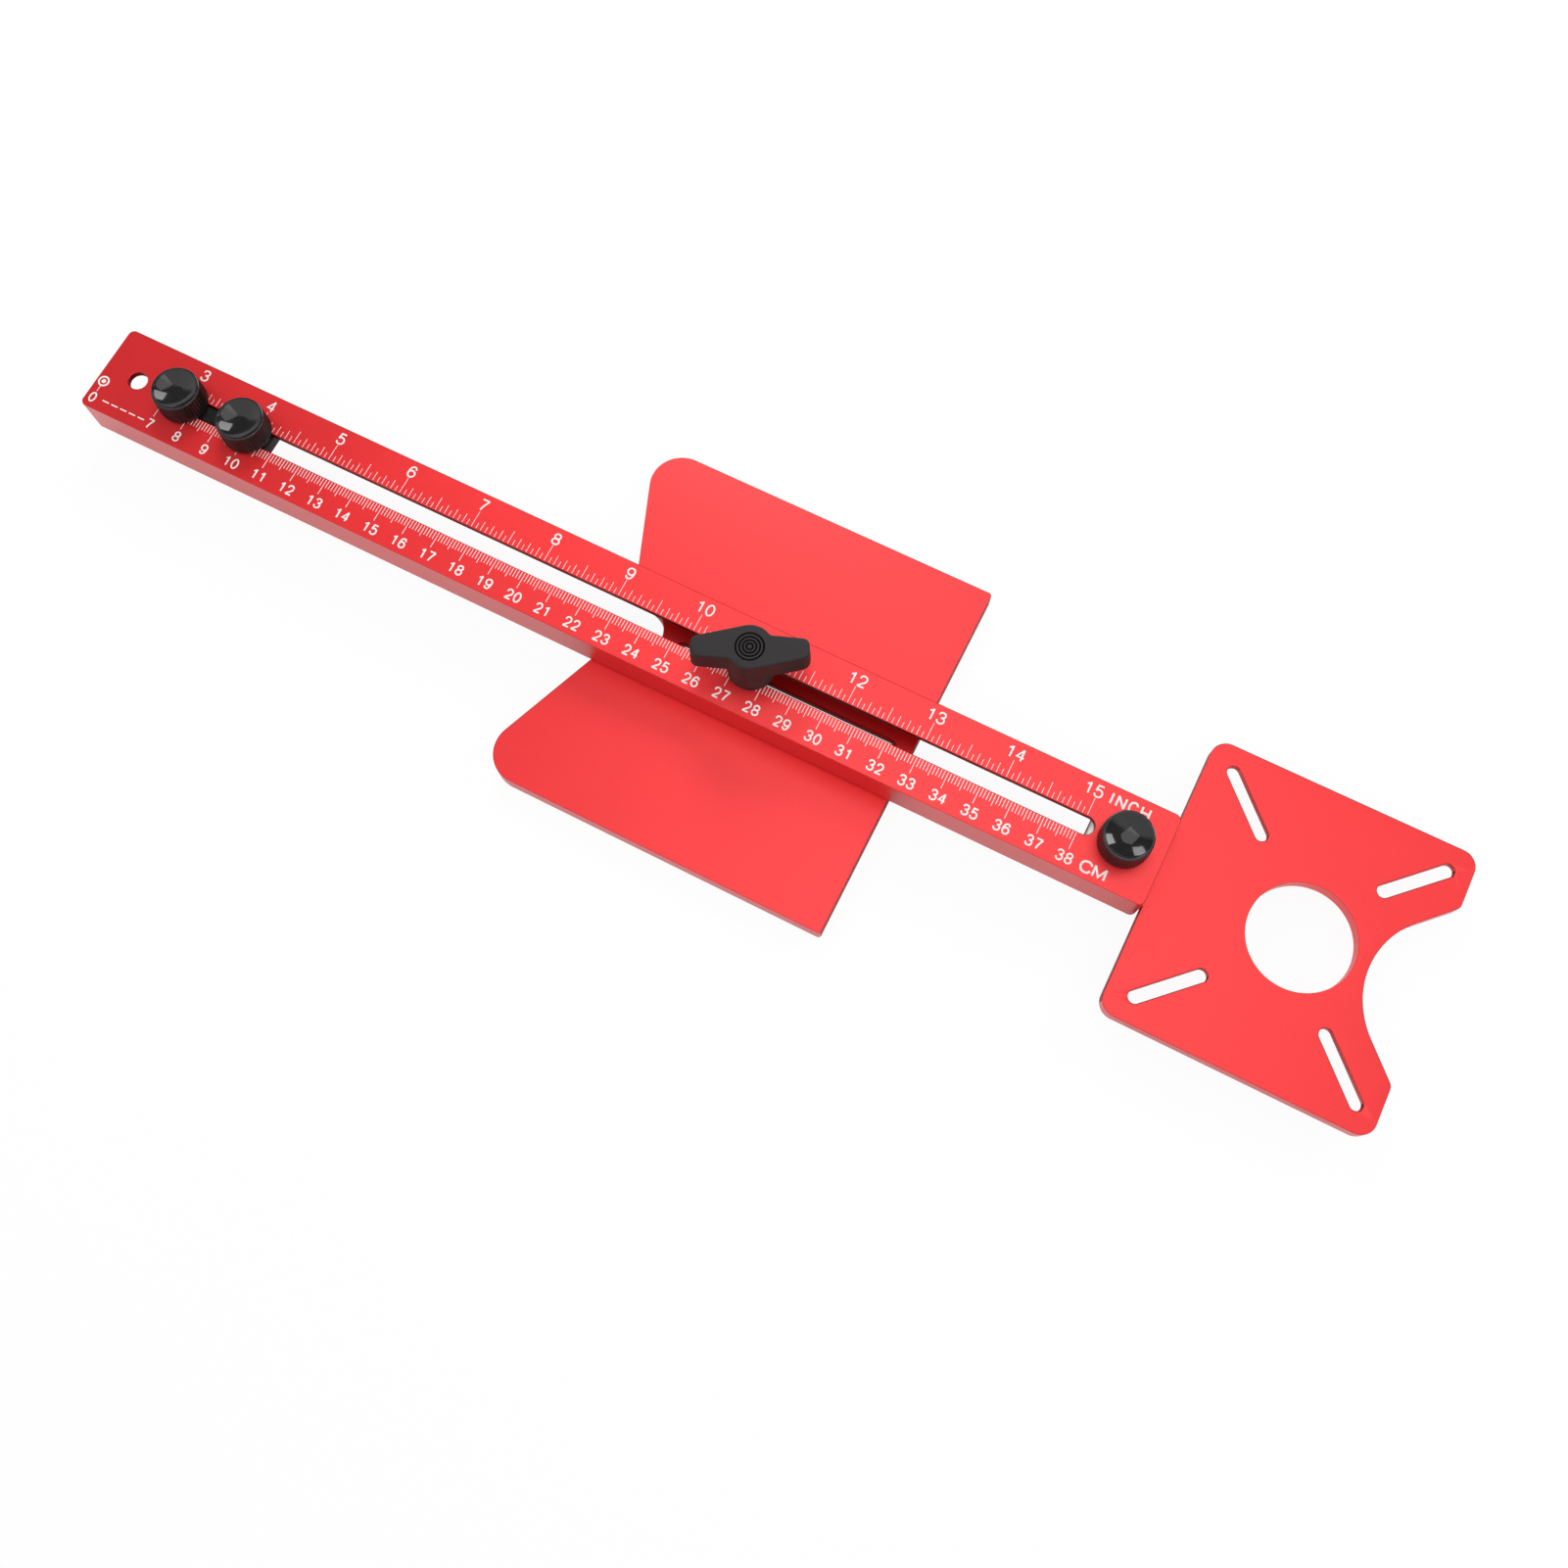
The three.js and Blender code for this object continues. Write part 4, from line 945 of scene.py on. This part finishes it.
# Letters as pen lines on a unit box: straight runs, smooth runs through their points, and closed ovals
hook = ("smooth", (0, 0.31), (0.03, 0.62), (0.2, 0.9), (0.5, 1), (0.78, 0.96), (0.94, 0.78))
glyphs = {
    "0": [("oval", (0.5, 0.5), (0.5, 0.5))],
    "1": [("straight", (0.6, 0), (0.6, 1)), ("straight", (0.14, 0.77), (0.42, 0.82), (0.6, 0.96))],
    "2": [("smooth", (0.03, 0.70), (0.16, 0.92), (0.5, 1), (0.84, 0.92), (0.97, 0.72), (0.86, 0.5),
           (0.42, 0.24), (0, 0)),
          ("straight", (0, 0), (1, 0))],
    "3": [("smooth", (0.06, 0.76), (0.2, 0.94), (0.5, 1), (0.82, 0.94), (0.93, 0.76), (0.8, 0.59),
           (0.42, 0.53)),
          ("smooth", (0.42, 0.53), (0.84, 0.48), (1, 0.28), (0.85, 0.07), (0.5, 0), (0.15, 0.07), (0, 0.26))],
    "4": [("straight", (0.72, 0), (0.72, 1)), ("straight", (0.72, 1), (0, 0.3), (1, 0.3))],
    "5": [("straight", (0.9, 1), (0.2, 1), (0.08, 0.5)),
          ("smooth", (0.08, 0.5), (0.26, 0.62), (0.5, 0.65), (0.86, 0.56), (1, 0.33), (0.86, 0.08), (0.5, 0),
           (0.14, 0.06), (0, 0.24))],
    "6": [("oval", (0.5, 0.31), (0.5, 0.31)), hook],
    "7": [("straight", (0, 1), (1, 1)), ("smooth", (1, 1), (0.74, 0.7), (0.5, 0.36), (0.36, 0))],
    "8": [("oval", (0.5, 0.76), (0.43, 0.24)), ("oval", (0.5, 0.27), (0.5, 0.27))],
    "9": [("oval", (0.5, 0.69), (0.5, 0.31)), ("smooth", *((1 - x, 1 - y) for x, y in hook[1:]))],
    "I": [("straight", (0.5, 0), (0.5, 1))],
    "N": [("straight", (0, 0), (0, 1)), ("straight", (0, 1), (1, 0)), ("straight", (1, 0), (1, 1))],
    "C": [("smooth", (0.97, 0.74), (0.8, 0.94), (0.5, 1), (0.14, 0.87), (0, 0.5), (0.14, 0.13), (0.5, 0),
           (0.8, 0.06), (0.97, 0.26))],
    "H": [("straight", (0, 0), (0, 1)), ("straight", (1, 0), (1, 1)), ("straight", (0, 0.5), (1, 0.5))],
    "M": [("straight", (0, 0), (0, 1)), ("straight", (0, 1), (0.5, 0.1), (1, 1)),
          ("straight", (1, 1), (1, 0))],
}


def smoothed(points):  # a curve through every point
    path = [points[0]]
    padded = [points[0], *points, points[-1]]
    for first, second, third, fourth in zip(padded, padded[1:], padded[2:], padded[3:]):
        for step in range(1, prints["curveSteps"] + 1):
            t = step / prints["curveSteps"]
            path.append(tuple(((3 * t ** 3 - 5 * t ** 2 + 2) * b + (4 * t ** 2 - 3 * t ** 3 + t) * c
                               + (2 * t ** 2 - t ** 3 - t) * a + (t ** 3 - t ** 2) * d) / 2
                              for a, b, c, d in zip(first, second, third, fourth)))
    return path


def penOutline(path, half):
    left, right = [], []
    for index, point in enumerate(path):
        here = Vector(point)
        first = here - Vector(path[index - 1]) if index else Vector(path[1]) - here
        second = Vector(path[index + 1]) - here if index < len(path) - 1 else first
        first, second = first.normalized(), second.normalized()
        inward = Vector((-first.y, first.x))
        side = (inward + Vector((-second.y, second.x))).normalized()
        reach = min(half / side.dot(inward), prints["penLimit"] * half)
        left.append(tuple(here + side * reach))
        right.append(tuple(here - side * reach))
    return right + left[::-1]


def stampGlyph(letter, width, height, pen):
    low, high = printHeight - prints["depth"] / 2, printHeight + prints["depth"] / 2
    size = Vector((width - pen, height - pen))
    strokes = []
    for kind, *points in glyphs[letter]:
        if kind == "oval":
            middle, reach = (Vector(point) * size for point in points)
            ring = [tuple(middle + Vector(p) * reach) for p in circlePath((0, 0), 1)]
            outer, inner = offsetPath(ring, -pen / 2), offsetPath(ring, pen / 2)
            strokes.append(walled("stroke", [(outer, low), (outer, high)], [[(inner, low), (inner, high)]]))
        else:
            path = [tuple(Vector(point) * size) for point in points]
            outer = penOutline(smoothed(path) if kind == "smooth" else path, pen / 2)
            strokes.append(walled("stroke", [(outer, low), (outer, high)]))
    return combine(strokes[0], "UNION", *strokes[1:])


def makeWords(name, items, height, width, gap, pen):  # items are (word, middle x, middle y)
    sheet = bmesh.new()
    stamps = {}
    for word, x, y in items:
        step = width + gap
        for index, letter in enumerate(word):
            if letter not in stamps:
                stamps[letter] = stampGlyph(letter, width, height, pen)
            mesh = stamps[letter].data.copy()
            start = x + (index - (len(word) - 1) / 2) * step - (width - pen) / 2
            mesh.transform(Matrix.Translation((start, y - (height - pen) / 2, 0)))
            sheet.from_mesh(mesh)
            bpy.data.meshes.remove(mesh)
    for stamp in stamps.values():
        bpy.data.objects.remove(stamp)
    piece = newPiece(name, [], [])
    sheet.to_mesh(piece.data)
    sheet.free()
    place(piece, ink, "bar", None)


def makeNumerals():
    p = prints
    y, height, width = p["cmNumeral"]
    start = scaleZero + p["cmShift"] + p["cmNudge"]
    items = [(str(n), start + 10 * mm * n + p["cmNudges"].get(n, 0), y)
             for n in range(p["cmFirst"], p["cmLast"] + 1)]
    items.append(("0", scaleZero + target["x"], y))
    makeWords("centimetreNumerals", items, height, width, p["numeralGap"], p["numeralPen"])
    y, height, width = p["inchNumeral"]
    start = scaleZero + p["inchShift"]
    items = [(str(n), start + p["inch"] * n + p["inchNudges"].get(n, 0), y)
             for n in range(p["inchFirst"], p["inchLast"] + 1)]
    makeWords("inchNumerals", items, height, width, p["numeralGap"], p["numeralPen"])
    for word, x, y, width in p["words"]:
        makeWords("word" + word, [(word, scaleZero + x, y)],
                  p["wordHeight"], width, p["wordGap"], p["wordPen"])


target = {"x": 50.1 * mm, "y": -4.95 * mm, "outer": 1.85 * mm, "inner": 1.3 * mm, "dot": 0.7 * mm,
          "lineTop": -6.85 * mm, "lineFoot": -8.9 * mm, "dashY": -10.85 * mm, "dashLength": 2.35 * mm,
          "dashStep": 3.27 * mm, "dashStart": 54.8 * mm, "dashWidth": 0.4 * mm, "dashCount": 5}


def makeTarget():
    t = target
    x, low, high = scaleZero + t["x"], printHeight - prints["depth"] / 2, printHeight + prints["depth"] / 2
    ring = turned("zeroRing", [(t["inner"], low), (t["outer"], low), (t["outer"], high), (t["inner"], high)],
                  (x, t["y"]), ring=True)
    dot = turned("zeroDot", [(0, low), (t["dot"], low), (t["dot"], high), (0, high)], (x, t["y"]))
    place(ring, ink, "bar", None)
    place(dot, ink, "bar", None)
    makeMarks("zeroLine", (0.0, 0.0, 0.0, t["lineTop"] - t["lineFoot"]), {
        "First": (x, t["lineTop"], printHeight), "Step": 1 * mm, "Count": 1})
    makeMarks("zeroDashes", (0.0, 0.0, 0.0, t["dashWidth"]), {
        "First": (scaleZero + t["dashStart"], t["dashY"] + t["dashWidth"] / 2, printHeight),
        "Step": t["dashStep"], "Count": t["dashCount"], "Thickness": t["dashLength"]})


makeScales()
makeNumerals()
makeTarget()
print("Scales printed")


# Floor, wall, lamps and camera

studio = {
    "floorRadius": 3.0, "wallRadius": 3.6, "wallHeight": 1.0, "seenShare": 0.94, "mirrorShare": 0.2,
    "floorDim": (0.90, 0.90, 0.90), "floorBright": (0.92, 0.92, 0.92), "mottleScale": 6,
    "brightSky": 1.1, "dimSky": 0.12, "skyFrom": -0.04, "skyTo": 0.16, "aim": (0, 0, 0.02),
}


def floorMaterial():  # nearly plain white where the camera sees it, and pale grey to the light
    s = studio
    material, tree, shader, here = newMaterial("White floor", {"Roughness": 0.85})
    mottled = spread(tree, noise(tree, here, s["mottleScale"]), 0, 1)
    tree.links.new(blendColours(tree, mottled, s["floorDim"], s["floorBright"]), shader.inputs["Base Color"])
    rays = addNode(tree, "ShaderNodeLightPath")
    direct = calc(tree, "MAXIMUM", rays["Is Camera Ray"], rays["Is Transmission Ray"])
    seen = calc(tree, "MULTIPLY", direct, s["seenShare"])
    share = calc(tree, "MAXIMUM", seen, calc(tree, "MULTIPLY", rays["Is Glossy Ray"], s["mirrorShare"]))
    white = addNode(tree, "ShaderNodeEmission", {"Color": (1, 1, 1, 1), "Strength": 1.0})[0]
    mixed = addNode(tree, "ShaderNodeMixShader", {0: share, 1: shader.outputs[0], 2: white})[0]
    tree.links.new(mixed, tree.nodes["Material Output"].inputs["Surface"])
    return material


def makeStage():
    s = studio
    bend = s["wallRadius"] - s["floorRadius"]  # a quarter round joins floor and wall
    sweep = [(s["floorRadius"] + bend * math.sin(t), bend * (1 - math.cos(t)))
             for t in (math.radians(10 * k) for k in range(10))]
    profile = [(0, 0), *sweep, (s["wallRadius"], s["wallHeight"])]
    floor = turned("floor", profile, (0, 0))
    floor.data.polygons.foreach_set("use_smooth", [True] * len(floor.data.polygons))
    floor.data.materials.append(floorMaterial())
    world = bpy.data.worlds.new("Studio")
    world.use_nodes = True
    tree = world.node_tree
    along = addNode(tree, "ShaderNodeSeparateXYZ", {0: addNode(tree, "ShaderNodeTexCoord")["Generated"]})[1]
    sky = addNode(tree, "ShaderNodeMapRange", {
        "Value": along, "From Min": s["skyFrom"], "From Max": s["skyTo"], "To Min": s["brightSky"],
        "To Max": s["dimSky"]}, interpolation_type="SMOOTHSTEP")[0]
    tree.nodes["Background"].inputs["Color"].default_value = (1, 1, 1, 1)
    tree.links.new(sky, tree.nodes["Background"].inputs["Strength"])
    bpy.context.scene.world = world


lamps = {
    "Left softbox": {"spot": (-0.24, 0.50, 0.46), "side": 0.30, "glow": 6.5},
    "Overhead panel": {"spot": (0.11, 0.27, 1.20), "side": 0.8, "glow": 1.85},
    "Right softbox": {"spot": (0.71, 0.70, 0.45), "side": 0.36, "glow": 7.9},
}


def makeLamp(name, spot, side, glow):
    lamp = bpy.data.lights.new(name, "AREA")
    lamp.shape, lamp.size, lamp.energy = "SQUARE", side, glow * math.pi * side ** 2
    holder = bpy.data.objects.new(name, lamp)
    holder.location = spot
    holder.rotation_euler = (Vector(studio["aim"]) - Vector(spot)).to_track_quat("-Z", "Y").to_euler()
    bpy.context.scene.collection.objects.link(holder)


lens = {
    "place": (0.097454, -0.147578, 0.456453), "turn": (17.35890, 0.50994, 26.78623),
    "focalLength": 36.551, "sensor": 36.0, "clip": (0.01, 20),
}


def makeCamera():
    camera = bpy.data.cameras.new("Camera")
    camera.lens, camera.sensor_width, camera.sensor_fit = lens["focalLength"], lens["sensor"], "HORIZONTAL"
    camera.clip_start, camera.clip_end = lens["clip"]
    holder = bpy.data.objects.new("Camera", camera)
    holder.location = lens["place"]
    holder.rotation_euler = [math.radians(angle) for angle in lens["turn"]]
    bpy.context.scene.collection.objects.link(holder)
    bpy.context.scene.camera = holder


makeStage()
for lampName, values in lamps.items():
    makeLamp(lampName, **values)
makeCamera()
bpy.context.scene.view_settings.view_transform = "Standard"
print("Studio ready")
